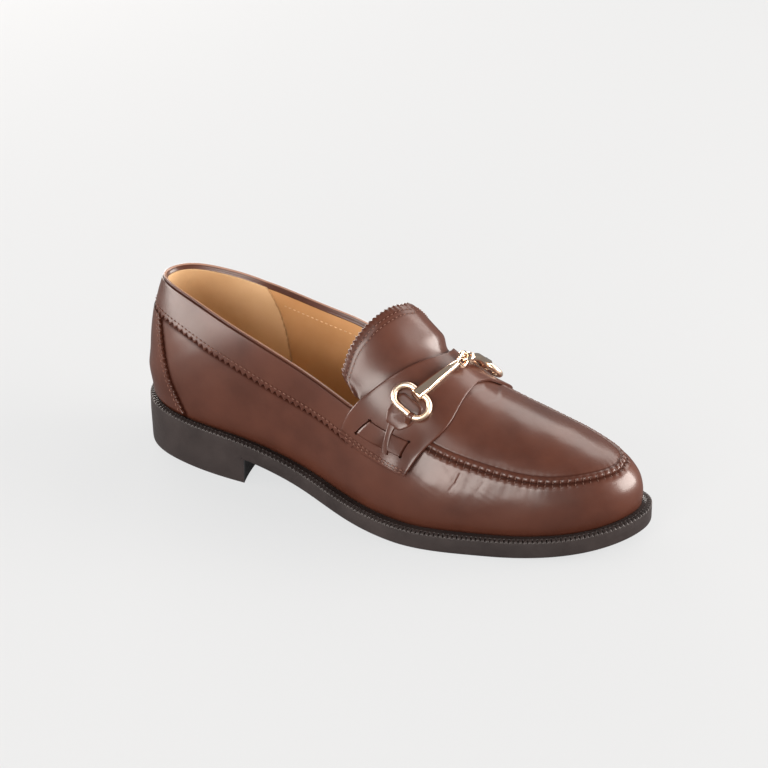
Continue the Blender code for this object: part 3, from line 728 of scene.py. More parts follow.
class Sheets:
    """Gathers sheets of points, in millimetres, that become one mesh."""

    def __init__(self):
        self.points = []
        self.shades = []
        self.faces = []
        self.count = 0

    def add(self, points, shade=0.0, wrap_rows=False, wrap_columns=False):
        """Adds rows of points as a sheet of four-sided faces, and returns the points' numbers."""
        points = np.asarray(points, float)
        rows, across = points.shape[:2]
        index = self.count + np.arange(rows * across).reshape(rows, across)
        self.points.append(points.reshape(-1, 3))
        self.shades.append(np.broadcast_to(shade, (rows, across)).reshape(-1))
        self.count += rows * across
        closed = index
        if wrap_rows:
            closed = np.concatenate([closed, closed[:1]])
        if wrap_columns:
            closed = np.concatenate([closed, closed[:, :1]], axis=1)
        corners = closed[:-1, :-1], closed[:-1, 1:], closed[1:, 1:], closed[1:, :-1]
        self.faces += np.stack(corners, axis=-1).reshape(-1, 4).tolist()
        return index

    def slab(self, top, bottom, shade=0.0):
        """Adds a closed sheet between two layers of the same layout."""
        shade = np.broadcast_to(shade, top.shape[:2])
        self.add(top, shade)
        self.add(bottom, shade)
        for end in (0, -1):
            self.add([top[end], bottom[end]], [shade[end], shade[end]])
            self.add([top[:, end], bottom[:, end]], [shade[:, end], shade[:, end]])

    def loft(self, sections, shade=0.0):
        """Adds a closed body through rings of points, with a flat cap on each end."""
        index = self.add(sections, shade, wrap_columns=True)
        self.faces += [index[0].tolist(), index[-1].tolist()]

    def tube(self, path, radius, out, sides=8, closed=False):
        """Adds a round wire along a path."""
        path = np.asarray(path, float)
        if closed:
            along = unit(np.roll(path, -1, axis=0) - np.roll(path, 1, axis=0))
        else:
            along = unit(np.gradient(path, axis=0))
        wide = unit(np.cross(along, out))
        high = np.cross(wide, along)
        turn = np.linspace(0, 2 * math.pi, sides, endpoint=False)
        spokes = wide[:, None] * np.cos(turn)[:, None] + high[:, None] * np.sin(turn)[:, None]
        rings = path[:, None] + spokes * np.broadcast_to(radius, len(path))[:, None, None]
        if closed:
            self.add(rings, wrap_rows=True, wrap_columns=True)
        else:
            self.loft(rings)

    def stitch(self, start, end, out, radius):
        """Adds one stitch: a short thread that rises between two holes."""
        share = np.linspace(0, 1, 5)[:, None]
        arch = np.sin(math.pi * share)
        path = start + (end - start) * share + out * radius * (1.3 * arch - 0.6)
        self.tube(path, radius * (0.4 + 0.6 * arch[:, 0]), out, sides=6)

    def stitch_row(self, route, outs, pitch, radius=0.26, share=0.62):
        """Sews along a route of points."""
        length = running_length(route)
        count = int(length[-1] // pitch)
        for place in range(count):
            ends = (place + 0.5 + share * np.array((-0.5, 0, 0.5))) * length[-1] / count
            spots = np.stack([np.interp(ends, length, route[:, axis]) for axis in range(3)], axis=-1)
            out = np.array([np.interp(ends[1], length, outs[:, axis]) for axis in range(3)])
            self.stitch(spots[0], spots[2], unit(out), radius)

    def thing(self, name):
        """Makes a bare object: its points welded and its faces looking outwards."""
        mesh = bpy.data.meshes.new(name)
        mesh.from_pydata(to_world(np.concatenate(self.points)), [], self.faces)
        shade = mesh.attributes.new("shade", "FLOAT", "POINT")
        shade.data.foreach_set("value", np.concatenate(self.shades).astype(np.float32))
        bm = bmesh.new()
        bm.from_mesh(mesh)
        bmesh.ops.remove_doubles(bm, verts=bm.verts, dist=WELD)
        bmesh.ops.dissolve_degenerate(bm, edges=bm.edges, dist=WELD)
        bmesh.ops.recalc_face_normals(bm, faces=bm.faces)
        bm.to_mesh(mesh)
        bm.free()
        made = bpy.data.objects.new(name, mesh)
        bpy.context.scene.collection.objects.link(made)
        return made

    def build(self, name, finish, nodes, sharp=40, thickness=0.0):
        """Makes the finished piece, smooth and riding on the shoe."""
        made = self.thing(name)
        if thickness:
            face_outwards(made.data)
            shell = made.modifiers.new("leather", "SOLIDIFY")
            shell.thickness = thickness * MM
            shell.offset = -1
            shell.use_even_offset = True
        smooth(made.data, sharp)
        made.data.materials.append(finish)
        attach(made, "root")
        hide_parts(*nodes)
        return made


def smooth(mesh, sharp):
    """Shades a mesh smooth, apart from edges sharper than an angle in degrees."""
    mesh.shade_smooth()
    mesh.set_sharp_from_angle(angle=math.radians(sharp))


def face_outwards(mesh):
    """Turns an open sheet's faces so that they look away from the middle of the last."""
    middle = to_world((0, 0, 35))
    facing = 0
    for face in mesh.polygons:
        away = np.array(face.center) - middle
        facing += face.area * (face.normal.y * away[1] + face.normal.z * away[2])
    if facing < 0:
        mesh.flip_normals()


def rim_places(length, step, rim):
    """Distances across a sheet, closer together over the round of each edge."""
    near = rim * np.array((0, 0.12, 0.45))
    count = max(2, int((length - 2 * rim) / step) + 1)
    inner = np.linspace(rim, length - rim, count)
    return np.concatenate([near, inner, (length - near)[::-1]])


def rim_drop(distance, length, rim):
    """How far a sheet's rounded edge lies below its top."""
    short = np.clip(rim - np.minimum(distance, length - distance), 0, rim)
    return rim - np.sqrt(rim**2 - short**2)


def tooth(way, pitch, depth):
    """A row of pinked teeth along a way."""
    share = (way / pitch) % 1
    return depth * np.abs(2 * share - 1)


def hole_row(way, pitch):
    """1 at each needle hole between the stitches of a row, 0 along the stitches."""
    count = int(way[-1] // pitch)
    share = (way * count / way[-1] + 0.5) % 1 - 0.5
    return bell(share * pitch, 0.45)


def rises_from(side, station, start, distance):
    """Rises at distances up the wall from a start rise, a row for each station."""
    rise = np.linspace(0, 1, 241)
    length = running_length(wall(side, station[:, None], rise[None, :]))
    rows = []
    for at, begin, further in zip(length, start, distance):
        rows.append(np.interp(np.interp(begin, rise, at) + further, at, rise))
    return np.array(rows)


def wall_length(side, station, low, high):
    """Length of the wall between two rises at each station."""
    rise = low[:, None] + (high - low)[:, None] * np.linspace(0, 1, 61)
    return running_length(wall(side, station[:, None], rise))[:, -1]


def undulation(points):
    """Faint unevenness of lasted leather."""
    x, y, z = np.moveaxis(points, -1, 0)
    slow = np.sin(0.16 * x + 0.11 * y + 0.7) * np.sin(0.19 * z - 0.05 * x + 1.1)
    quick = np.sin(0.37 * x - 0.21 * z + 2.0) * np.sin(0.33 * y + 0.29 * z)
    return 0.10 * slow + 0.04 * quick


# Curves of the seam round the apron, the collar band and the counter
ROLL_TOP = curves(ROLL_COLUMNS, APRON_ROLL)["height"]
SKIRT_TOP = curves(ROLL_COLUMNS, SKIRT_ROLL)["height"]
BAND_LOW = curves(BAND_COLUMNS, BAND_EDGE)["rise"]
COUNTER_FRONT = curves(COUNTER_COLUMNS, COUNTER_EDGE)["station"]

# Stations by which the seam's roll runs on under the saddle, and over which it fades out there
SEAM_TUCK = 0.014
SEAM_FADE = 0.012


def seam_begin(side):
    """The station where the apron seam comes out from under the saddle."""
    station = SEAM[0][0]
    for _ in range(20):
        station = float(SADDLE_AT["front", side](SEAM_AT[side](station)))
    return station


SEAM_BEGIN = {side: seam_begin(side) for side in SIDES.values()}

# Stations of the upper's lines, which are closer together where the lateral side is creased
FRONT_STATIONS = np.linspace(THROAT, 1, 221)
REAR_STATIONS = np.linspace(0, THROAT, 96)
ALL_STATIONS = np.concatenate([REAR_STATIONS[:-1], FRONT_STATIONS])
CREASED = (0.57, 0.70)


def seam_lengths(side):
    return running_length(wall(side, FRONT_STATIONS, split_rise(side, FRONT_STATIONS)))


SEAM_LENGTHS = {side: seam_lengths(side) for side in SIDES.values()}


def seam_way(side, station):
    """Distance along the seam back from the toe."""
    length = SEAM_LENGTHS[side]
    return length[-1] - np.interp(station, FRONT_STATIONS, length)


def seam_share(side, station):
    return ease((station - SEAM_BEGIN[side] + SEAM_TUCK) / SEAM_FADE)


def stitch_dip(way):
    """1 at each stitch of the apron seam, 0 between them."""
    share = (way / APRON_STITCH + 0.5) % 1 - 0.5
    return bell(share * APRON_STITCH, 0.8)


def seam_pull(side, station):
    """How hard the apron seam pulls: about 1 at each stitch, 0 between them."""
    way = seam_way(side, station)
    return stitch_dip(way) * (1 + 0.25 * np.sin(0.31 * way))


def apron_height(side, station, reach):
    """Height of the apron's rolled edge, dented by the stitches."""
    dents = 0.28 * bell(reach - 1.0, 1.1) + 0.10 * bell(reach, 4)
    return (ROLL_TOP(reach) - dents * seam_pull(side, station)) * seam_share(side, station)


def skirt_height(side, station, reach):
    """Height of the skirt below the apron's edge, dented by the stitches."""
    below = np.clip(reach, 0, None)
    dents = 0.16 * bell(reach - 1.2, 1.0) + 0.06 * np.exp(-below / 2.5)
    return (SKIRT_TOP(reach) - dents * seam_pull(side, station)) * seam_share(side, station)


def segment_distance(points, start, end):
    start = np.array(start)
    run = np.array(end) - start
    share = np.clip((points - start) @ run / (run @ run), 0, 1)
    return np.linalg.norm(points - start - share[..., None] * run, axis=-1)


def crease_height(points):
    """Soft troughs with raised lips, and the painted shade in each."""
    height = np.zeros(points.shape[:-1])
    dark = np.zeros(points.shape[:-1])
    for start, end, depth, width in CREASES:
        away = segment_distance(points, start, end)
        lips = 0.4 * bell(away - 2.2 * width, 1.2 * width)
        trough = bell(away, width) + 0.6 * bell(away, 5 * width)
        height += depth * (lips - trough)
        dark += 1.2 * depth * bell(away, width)
    x, y, z = np.moveaxis(points, -1, 0)
    flexed = bell(x - FLEXED[0], 24) * bell(z - FLEXED[1], 8) * (y < 0)
    drift = 1.8 * np.sin(0.21 * x + 0.3 * z)
    ripple = np.sin(0.8 * x + 0.40 * z + drift) * np.sin(0.75 * z - 0.28 * x + drift)
    return height + RIPPLE_DEPTH * flexed * ripple, dark


def top_gap(station):
    """How far the quarters end below the topline; in front of the throat they pass the seam by the rest."""
    return LINING_TOP_GAP - SKIRT_TUCK * ease((station - 0.47) / 0.09)


def saddle_shade(side, station, rise):
    """Painted shadow: a dark line on the leather below the saddle's foot."""
    rear, front = (float(SADDLE_AT[end, side](SADDLE_FOOT[0])) for end in ("rear", "front"))
    along = (station - rear) / (front - rear)
    foot = SADDLE_FOOT[0] + (SADDLE_FOOT[1] - SADDLE_FOOT[0]) * along
    below = (foot - rise) * wall_scale(side, station, rise)[1]
    return 0.9 * bell(below - 0.2, 0.8) * ((along > 0) & (along < 1))


def spaced(near, full, count):
    """Distances across a sheet: those close together near its edge, then even steps to its full width."""
    share = np.linspace(0, 1, count)[1:]
    return np.concatenate([near, near[:, -1:] + (full - near[:, -1:]) * share], axis=1)


def make_quarters(finish):
    """Quarters and skirt: one sheet from the welt up to the topline and the apron's edge."""
    sheets = Sheets()
    for side in SIDES.values():
        station = ALL_STATIONS
        if side == LATERAL:
            creased = (station > CREASED[0]) & (station < CREASED[1])
            station = np.sort(np.concatenate([station[~creased], np.linspace(*CREASED, 150)]))
        at = station[:, None]
        split = split_rise(side, station)
        full = wall_length(side, station, 0 * split, split)[:, None]
        down = spaced(top_gap(at) + np.arange(0, 7.01, 0.32), full, 38)
        rise = rises_from(side, station, split, -down)
        points = wall(side, at, rise)
        creases, dark = crease_height(points)
        from_welt = full - down
        lift = skirt_height(side, at, down) + creases + undulation(points) * ease(from_welt / 4)
        band_gap = down - band_depth(side, station)[:, None]
        stay_gap = (at - BACKSTAY_EDGE(rise)) * wall_scale(side, at, rise)[0]
        # Painted shade in creases, under the apron's edge and above the welt, and painted shadow along the
        # band, backstay and saddle
        shade = dark + 0.6 * bell(down - 0.2, 0.9) * seam_share(side, at)
        shade += 0.35 * np.exp(-from_welt / 3.5)
        shade += bell(band_gap - 0.3, 1.3) * (at < BAND_STOP[side])
        shade += 1.3 * bell(stay_gap - 0.4, 1.5) * (rise < BACKSTAY[-1][0])
        shade += saddle_shade(side, at, rise)
        points = offset_wall(side, at, rise, lift)
        points[:, -1, 2] -= WELT_TUCK
        sheets.add(points, np.clip(shade, 0, 1))
    sheets.build("quarters_and_skirt", finish, ["upper"], 70, UPPER_LEATHER)


def make_apron(finish):
    """The plug of the vamp, whose edge is rolled over the skirt."""
    sheets = Sheets()
    station = FRONT_STATIONS
    at = station[:, None]
    near = np.tile(np.concatenate([(0, 0.1), np.arange(0.3, 6.9, 0.3)]), (len(station), 1))
    both = (seam_share(LATERAL, at) + seam_share(MEDIAL, at)) / 2
    for side in SIDES.values():
        split = split_rise(side, station)
        up = spaced(near, wall_length(side, station, split, 0 * split + 1)[:, None], 34)
        rise = rises_from(side, station, split, up)
        rise[:, -1] = 1
        lift = apron_height(side, at, up) + undulation(wall(side, at, rise)) * ease(up / 8)
        close = ease((rise - 0.85) / 0.15)
        lift = lift * (1 - close) + APRON_ROLL[-1][1] * both * close
        # Painted shade at the stitches, in the groove at the apron's cut edge and in the groove inside the
        # roll
        dark = 0.45 * stitch_dip(seam_way(side, at)) * bell(up - 1.0, 1.4)
        shade = (dark + 0.5 * bell(up, 0.5) + 0.55 * bell(up - 3.5, 0.4)) * seam_share(side, at)
        sheets.add(offset_wall(side, at, rise, lift), shade)
    sheets.build("apron", finish, ["upper"], 70, UPPER_LEATHER)


def make_apron_stitches(finish):
    """Threads over the apron's rolled edge."""
    sheets = Sheets()
    for side in SIDES.values():
        station = np.linspace(SEAM_BEGIN[side], 1, 1200)
        way = seam_way(side, station)
        at = np.interp(-np.arange(0, way[0], APRON_STITCH), -way, station)
        split = split_rise(side, at)
        for reach, height in ((APRON_THREAD, apron_height), (SKIRT_THREAD, skirt_height)):
            rise = rises_from(side, at, split, np.tile(reach, (len(at), 1)))
            lift = height(side, at[:, None], np.abs(reach)) + THREAD_LIFT
            paths = offset_wall(side, at[:, None], rise, lift)
            outs = wall_normal(side, at[:, None], rise)
            for path, out in zip(paths, outs):
                sheets.tube(path, THREAD_RADIUS, out, sides=6)
    sheets.build("apron_stitches", finish, ["upper"])


def band_low_rise(station, top):
    """Lower edge of the collar band: as far below the topline on both sides."""
    return top - topline_rise(LATERAL, station) + BAND_LOW(station)


def band_depth(side, station):
    """Width of the collar band at each station."""
    top = topline_rise(side, station)
    return wall_length(side, station, band_low_rise(station, top), top)


def bead_profile():
    """The bead's distances down from the topline and its lifts: outside, over the fold and inside."""
    outside = np.array(BEAD_OUTSIDE)
    turn = np.linspace(0, math.pi, 12)[1:]
    fold = BEAD_RADIUS * (1 - signed_power(np.sin(turn), BEAD_FLAT))
    fold_lift = outside[-1, 1] - BEAD_RADIUS * (1 - signed_power(np.cos(turn), BEAD_FLAT))
    return np.concatenate([outside, np.column_stack([fold, fold_lift]), BEAD_INSIDE, BEAD_RETURN]).T


def make_collar_band(finish, thread):
    """The band along the topline: pinked below, folded over the edge and turned down inside."""
    sheets = Sheets()
    sewing = Sheets()
    reach, pinking, drop = np.array(BAND_PROFILE).T
    bead, bead_lift = bead_profile()
    share = np.linspace(0, 1, 10)[1:-1]
    lift = np.concatenate([BAND_WALL - drop, BAND_WALL + 0 * share, bead_lift, (0.0,)])
    for side in SIDES.values():
        station = np.linspace(0, BAND_STOP[side] + BAND_END, 560)
        top = topline_rise(side, station)
        low = band_low_rise(station, top)
        depth = wall_length(side, station, low, top)[:, None]
        way = running_length(wall(side, station, low))
        teeth = 0.5 * BAND_TOOTH[1] - tooth(way, *BAND_TOOTH)
        lower = depth + teeth[:, None] * pinking - reach
        upper = lower[:, -1:] + (bead[0] - lower[:, -1:]) * share
        down = np.concatenate([lower, upper, np.tile(bead, (len(station), 1)), lower[:, :1] - 0.6], axis=1)
        rise = rises_from(side, station, top, -down)
        points = offset_wall(side, station[:, None], rise, lift)
        # Painted shade in the needle holes and the groove, and a painted highlight along the top of the
        # folded edge
        holes = bell(down - depth + BAND_ROW, 0.3) * hole_row(way, BAND_SEWING[0])[:, None]
        groove = bell(down - 1.3, 0.35) * (lift > 0)
        edge = bell(down, 0.12) * (np.abs(lift + 0.19) < 0.6)
        index = sheets.add(points, 0.9 * holes + 0.8 * groove - 0.55 * edge, wrap_columns=True)
        sheets.faces.append(index[-1].tolist())
        row_rise = rises_from(side, station, top, BAND_ROW - depth)[:, 0]
        route = offset_wall(side, station, row_rise, BAND_WALL)
        sewing.stitch_row(route, wall_normal(side, station, row_rise), *BAND_SEWING)
    sheets.build("collar_band", finish, ["upper"], 60)
    sewing.build("collar_band_stitches", thread, ["upper"])


def make_backstay(finish, thread):
    """The strip up the back of the heel, pinked along both sides."""
    sheets = Sheets()
    sewing = Sheets()
    rise = np.linspace(BACKSTAY[0][0], BACKSTAY[-1][0], 150)
    half = BACKSTAY_EDGE(rise)
    share = np.concatenate([np.linspace(0, 0.86, 14), (0.9, 0.94, 0.97, 0.985, 1.0)])
    pinking = np.clip((share - 0.86) / 0.1, 0, 1)
    for side in SIDES.values():
        way = running_length(wall(side, half, rise))
        length = wall_scale(side, half, rise)[0]
        teeth = (tooth(way, *BACKSTAY_TOOTH) - BACKSTAY_TOOTH[1] / 2) / length
        station = (half[:, None] + teeth[:, None] * pinking) * share
        gap = (1 - share) * (half * length)[:, None]
        top = offset_wall(side, station, rise[:, None], BACKSTAY_TOP - rim_drop(gap, 1e3, LEATHER_RIM))
        bottom = offset_wall(side, station, rise[:, None], BACKSTAY_BOTTOM)
        sheets.add(top)
        sheets.add(bottom)
        sheets.add([top[:, -1], bottom[:, -1]])
        for end in (0, -1):
            sheets.add([top[end], bottom[end]])
        row = half - BACKSTAY_ROW / length
        route = offset_wall(side, row, rise, BACKSTAY_TOP)
        sewing.stitch_row(route, wall_normal(side, row, rise), *BACKSTAY_SEWING)
    sheets.build("backstay", finish, ["backstay"], 60)
    sewing.build("backstay_stitches", thread, ["backstay"])


def saddle_edge(end, side, rise):
    """Station of the saddle's rear or front edge."""
    return np.where(side < 0, SADDLE_AT[end, LATERAL](rise), SADDLE_AT[end, MEDIAL](rise))


def tongue_place(across, along, swing=0.0):
    """Side, station, rise and lift of a place on the tongue; swing moves its free edge."""
    across, along = np.broadcast_arrays(across, along)
    front = THROAT - TONGUE_BUTT
    side = np.where(across < 0, LATERAL, MEDIAL)
    station = np.full(across.shape, front)
    for _ in range(6):
        clear = np.where(side < 0, topline_rise(LATERAL, station), topline_rise(MEDIAL, station))
        side_rise = np.maximum(TONGUE[0][0], clear + TONGUE_SIDE_GAP)
        rise = 1 - np.abs(across) * (1 - side_rise)
        edge = np.where(side < 0, TONGUE_AT[LATERAL](rise), TONGUE_AT[MEDIAL](rise))
        station = edge + (front - edge) * along
    swell_start = saddle_edge("rear", side, rise) - TONGUE_SWELL_START
    back = (swell_start - station) / (swell_start - edge)
    crest = ease((across + 0.25) / 0.55) * (1 - ease((across - 0.5) / 0.45))
    crest = crest * ease(back / 0.38) * (1 - 0.7 * ease((back - 0.2) / 0.7))
    curl = np.clip(1 - along * TONGUE_LENGTH / TONGUE_CURL_LENGTH, 0, 1) ** 2
    lift = (TONGUE_SWELL + TONGUE_SINK) * ease(back) - TONGUE_SINK
    lift = lift + TONGUE_CREST * crest - TONGUE_CURL * curl
    return side, station + swing * np.clip(1 - along / 0.12, 0, 1), rise, lift


def tongue_points(across, along, depth, swing=0.0):
    side, station, rise, lift = tongue_place(across, along, swing)
    return offset_wall(side, station, rise, lift - depth)


def beside_rows(rows):
    """Distances on and just beside rows of stitches."""
    return np.add.outer(rows, (-0.4, 0.0, 0.4)).ravel()


def make_tongue(finish, lining, thread):
    """The pinked tongue, its lining and two rows of stitches inside its edge."""
    across = np.linspace(-1, 1, 421)
    side, station, rise, _ = tongue_place(across, 0)
    way = running_length(tongue_points(across, 0, 0))
    teeth = tooth(way - way[len(way) // 2], *TONGUE_TOOTH) - 0.5 * TONGUE_TOOTH[1]
    swing = (teeth / wall_scale(side, station, rise)[0])[:, None]
    even = rim_places(TONGUE_LENGTH, 1.2, LEATHER_RIM)[:-5]
    inward = np.sort(np.concatenate([even, beside_rows(TONGUE_ROWS), (TONGUE_LENGTH,)]))
    along = inward / TONGUE_LENGTH
    sheets = Sheets()
    top = tongue_points(across[:, None], along, rim_drop(inward, 1e3, LEATHER_RIM), swing)
    bottom = tongue_points(across[:, None], along, TONGUE_LEATHER, swing)
    # Painted shade in grooves along the rows of stitches
    sheets.slab(top, bottom, sum(0.55 * bell(inward - row, 0.4) for row in TONGUE_ROWS))
    sheets.build("tongue", finish, ["tongue"], 60)
    under = Sheets()
    inside = across[::2, None], along[3:] + 0.012
    top = tongue_points(*inside, TONGUE_LEATHER + 0.03)
    under.slab(top, tongue_points(*inside, TONGUE_LEATHER + TONGUE_LINING))
    under.build("tongue_lining", lining, ["tongue"], 60)
    sewing = Sheets()
    for inset in TONGUE_ROWS:
        row = inset / TONGUE_LENGTH
        side, station, rise, _ = tongue_place(across, row)
        outs = wall_normal(side, station, rise)
        sewing.stitch_row(tongue_points(across, row, 0)[6:-6], outs[6:-6], *TONGUE_SEWING)
    sewing.build("tongue_stitches", thread, ["tongue"])


def saddle_place(across, along):
    """Side, station and rise of a place on the saddle, whose across runs from -1 (lateral) to 1 (medial)."""
    across, along = np.broadcast_arrays(across, along)
    side = np.where(across < 0, LATERAL, MEDIAL)
    foot = SADDLE_FOOT[0] + (SADDLE_FOOT[1] - SADDLE_FOOT[0]) * along
    rise = 1 - np.abs(across) * (1 - foot)
    rear, front = (saddle_edge(end, side, rise) for end in ("rear", "front"))
    return side, rear + (front - rear) * along, rise


def saddle_stand(across, along):
    """How far the saddle stands off the leather below: most at its lower front corners."""
    low = ease((np.abs(across) - 0.55) / 0.4)
    ahead = ease((along - 0.55) / 0.45)
    return 2.3 * low * ahead + 0.7 * ahead * ease((np.abs(across) - 0.3) / 0.3)


def saddle_points(across, along, lift):
    side, station, rise = saddle_place(across, along)
    return offset_wall(side, station, rise, lift + saddle_stand(across, along))


def cut_slits(saddle):
    """Cuts the weave's slits, with a hole at each end, through the saddle."""
    cutter = Sheets()
    share = np.linspace(0, 1, 25)
    hole = 1 + 1.3 * (bell(share - 0.06, 0.07) + bell(share - 0.94, 0.07))
    rounded = np.sqrt(np.clip(1 - (2 * share - 1) ** 30, 0.02, 1))
    half = (SLIT_WIDTH / 2 / SADDLE_LENGTH * hole * rounded)[:, None]
    for side in SIDES.values():
        for start, end in np.array(WEAVE_SLITS):
            across, middle = (start + (end - start) * share[:, None]).T[..., None]
            place = np.broadcast_arrays(side * across, middle + half * np.array((-1, 1)))
            cutter.slab(saddle_points(*place, 3 * SADDLE_TOP), saddle_points(*place, 0.0))
    apply_boolean(saddle, cutter.thing("slits"), "DIFFERENCE")


def apply_boolean(thing, tool, operation):
    """Cuts or joins with another object, which is then removed."""
    change = thing.modifiers.new("change", "BOOLEAN")
    change.operation = operation
    change.object = tool
    graph = bpy.context.evaluated_depsgraph_get()
    mesh = bpy.data.meshes.new_from_object(thing.evaluated_get(graph))
    thing.modifiers.clear()
    thing.data = mesh
    bpy.data.objects.remove(tool)


def make_saddle(finish, thread):
    """The strap over the instep, slit for the weave, with rows of stitches along its feet."""
    rows = beside_rows(SADDLE_ROWS)
    even = rim_places(SADDLE_GIRTH, SADDLE_STEP, LEATHER_RIM)
    across_mm = np.sort(np.concatenate([even, rows, SADDLE_GIRTH - rows]))[:, None]
    along_mm = rim_places(SADDLE_LENGTH, SADDLE_STEP, LEATHER_RIM)
    place = 2 * across_mm / SADDLE_GIRTH - 1, along_mm / SADDLE_LENGTH
    drop_across = rim_drop(across_mm, SADDLE_GIRTH, LEATHER_RIM)
    drop = np.maximum(drop_across, rim_drop(along_mm, SADDLE_LENGTH, LEATHER_RIM))
    from_foot = np.minimum(across_mm, SADDLE_GIRTH - across_mm)
    # Darker over the rounded rims, and painted shade in grooves along the rows of stitches
    shade = 0.25 * drop + sum(0.6 * bell(from_foot - row, 0.35) for row in SADDLE_ROWS)
    sheets = Sheets()
    sheets.slab(saddle_points(*place, SADDLE_TOP - drop), saddle_points(*place, SADDLE_BASE), shade)
    saddle = sheets.build("saddle", finish, ["saddle"], 60)
    cut_slits(saddle)
    smooth(saddle.data, 60)
    sewing = Sheets()
    row = np.linspace(0.07, 0.95, 80)
    for side in SIDES.values():
        for inset in SADDLE_ROWS:
            across = side * (1 - 2 * inset / SADDLE_GIRTH)
            outs = wall_normal(*saddle_place(across, row))
            sewing.stitch_row(saddle_points(across, row, SADDLE_TOP), outs, *SADDLE_SEWING)
    sewing.build("saddle_stitches", thread, ["saddle"])


def make_weave(finish):
    """The strap that runs through the two slits on each side of the saddle."""
    length, breadth = WEAVE_SIZE
    run = 1.06 * rim_places(length, 0.6, LEATHER_RIM)[:, None] / length - 0.03
    wide_mm = rim_places(breadth, 0.6, LEATHER_RIM)
    inner = (0.07 + 0.86 * wide_mm / breadth)[:, None]
    rear, front = (start + (end - start) * inner for start, end in np.array(WEAVE_SLITS))
    across, along = np.moveaxis(rear + (front - rear) * run[..., None], -1, 0)
    surfaced = ease((run + 0.03) / 0.06) * ease((1.03 - run) / 0.06)
    pinch = bell((run - 0.52) * length, 2.6)
    lift = SADDLE_BASE + 0.2 + (SADDLE_TOP + 0.45 - SADDLE_BASE - 0.35 * pinch) * surfaced
    drop = rim_drop(wide_mm, breadth, LEATHER_RIM)
    outline = bell(np.minimum(wide_mm, breadth - wide_mm), 0.3)
    # Painted shade under the crossing thong, along the strap's edges and at its ends, where it goes into the
    # slits
    shade = np.clip(0.4 * pinch + 0.7 * outline + 0.9 * (surfaced < 0.98), 0, 1)
    sheets = Sheets()
    for side in SIDES.values():
        top = saddle_points(side * across, along, lift - drop)
        sheets.slab(top, saddle_points(side * across, along, lift - 1.0), shade)
    sheets.build("saddle_weave", finish, ["saddle"], 60)


def ring_frame(name):
    """A ring's middle and its axes: along the shoe, up towards the ridge, and out of the leather."""
    side = SIDES[name]
    station, rise = (np.array(share) for share in RING_PLACE[name])
    out = wall_normal(side, station, rise)
    along = wall_slopes(side, station, rise)[0]
    along = unit(along - out * (along @ out))
    up = unit(np.cross(out, along))
    if up[2] < 0:
        up = -up
    return wall(side, station, rise) + out * RING_LIFT, along, up, out


def by_ring(name, along_mm, up_mm, lift):
    """Points over the wall at distances along and up from a ring's middle."""
    side = SIDES[name]
    station, rise = (np.array(share) for share in RING_PLACE[name])
    _, along, up, _ = ring_frame(name)
    slopes = np.stack(wall_slopes(side, station, rise), axis=-1)
    plane = np.stack([along, up]) @ slopes
    shares = np.linalg.solve(plane, np.stack([np.ravel(along_mm), np.ravel(up_mm)]))
    shape = np.shape(along_mm)
    return offset_wall(side, station + shares[0].reshape(shape), rise + shares[1].reshape(shape), lift)


def add_keeper_pad(sheets, name):
    """The soft roll from the inside of the ring to below its wire, narrower at its foot."""
    turn = np.linspace(0, 2 * math.pi, 64, endpoint=False)
    round_along = signed_power(np.cos(turn), PAD_ROUND)
    round_up = signed_power(np.sin(turn), PAD_ROUND)
    rings = []
    for share, height in KEEPER_PAD:
        up = PAD_MIDDLE + PAD_HALF[1] * share * round_up
        narrow = ease((PAD_NARROWS - up) / 7.0)
        along = -0.1 - narrow + (PAD_HALF[0] - 2.0 * narrow) * share * round_along
        groove = 0.9 * bell(up + 5.5, 1.8)
        lift = SADDLE_TOP - 0.1 + height - np.minimum(groove, 0.65 * height)
        rings.append(by_ring(name, along, up, lift))
    sheets.loft(rings)


def add_keeper_loop(sheets, name):
    """The loop over the ring's wire."""
    knots = np.arange(len(KEEPER_LOOP))
    route = spline(knots, KEEPER_LOOP)(np.linspace(0, knots[-1], 41))
    along, up = np.broadcast_arrays(LOOP_MIDDLE + LOOP_ACROSS, route[:, :1])
    top = by_ring(name, along, up, route[:, 1:] + LOOP_EDGE + LOOP_LEATHER / 2)
    sheets.slab(top, by_ring(name, along, up, route[:, 1:] - LOOP_LEATHER / 2))


def add_keeper_thong(sheets, side):
    """The thong down across the weave, widest under the ring, with its end tucked in."""
    share = np.linspace(0, 1, 40)[:, None]
    knots = np.linspace(0, 1, len(WEAVE_THONG))
    across, along = np.moveaxis(spline(knots, WEAVE_THONG)(share), -1, 0)
    over = SADDLE_TOP + 0.2 * ease(share / 0.3) * ease((1 - share) / 0.12) - ease((share - 0.9) / 0.1)
    half = (3.0 - 1.5 * ease(share / 0.45)) / SADDLE_LENGTH
    place = side * across, along + half * THONG_ACROSS
    top = saddle_points(*place, over + THONG_EDGE + 0.45)
    # Painted shade along the thong's edges
    sheets.slab(top, saddle_points(*place, over - 0.4), -2.0 * THONG_EDGE)


def make_keeper(name, finish):
    """The leather that holds a ring: a roll under it, a loop over its wire and a thong."""
    sheets = Sheets()
    add_keeper_pad(sheets, name)
    add_keeper_loop(sheets, name)
    add_keeper_thong(sheets, SIDES[name])
    sheets.build("ring_keeper_leather_" + name, finish, ["ring_keeper_" + name], 60)


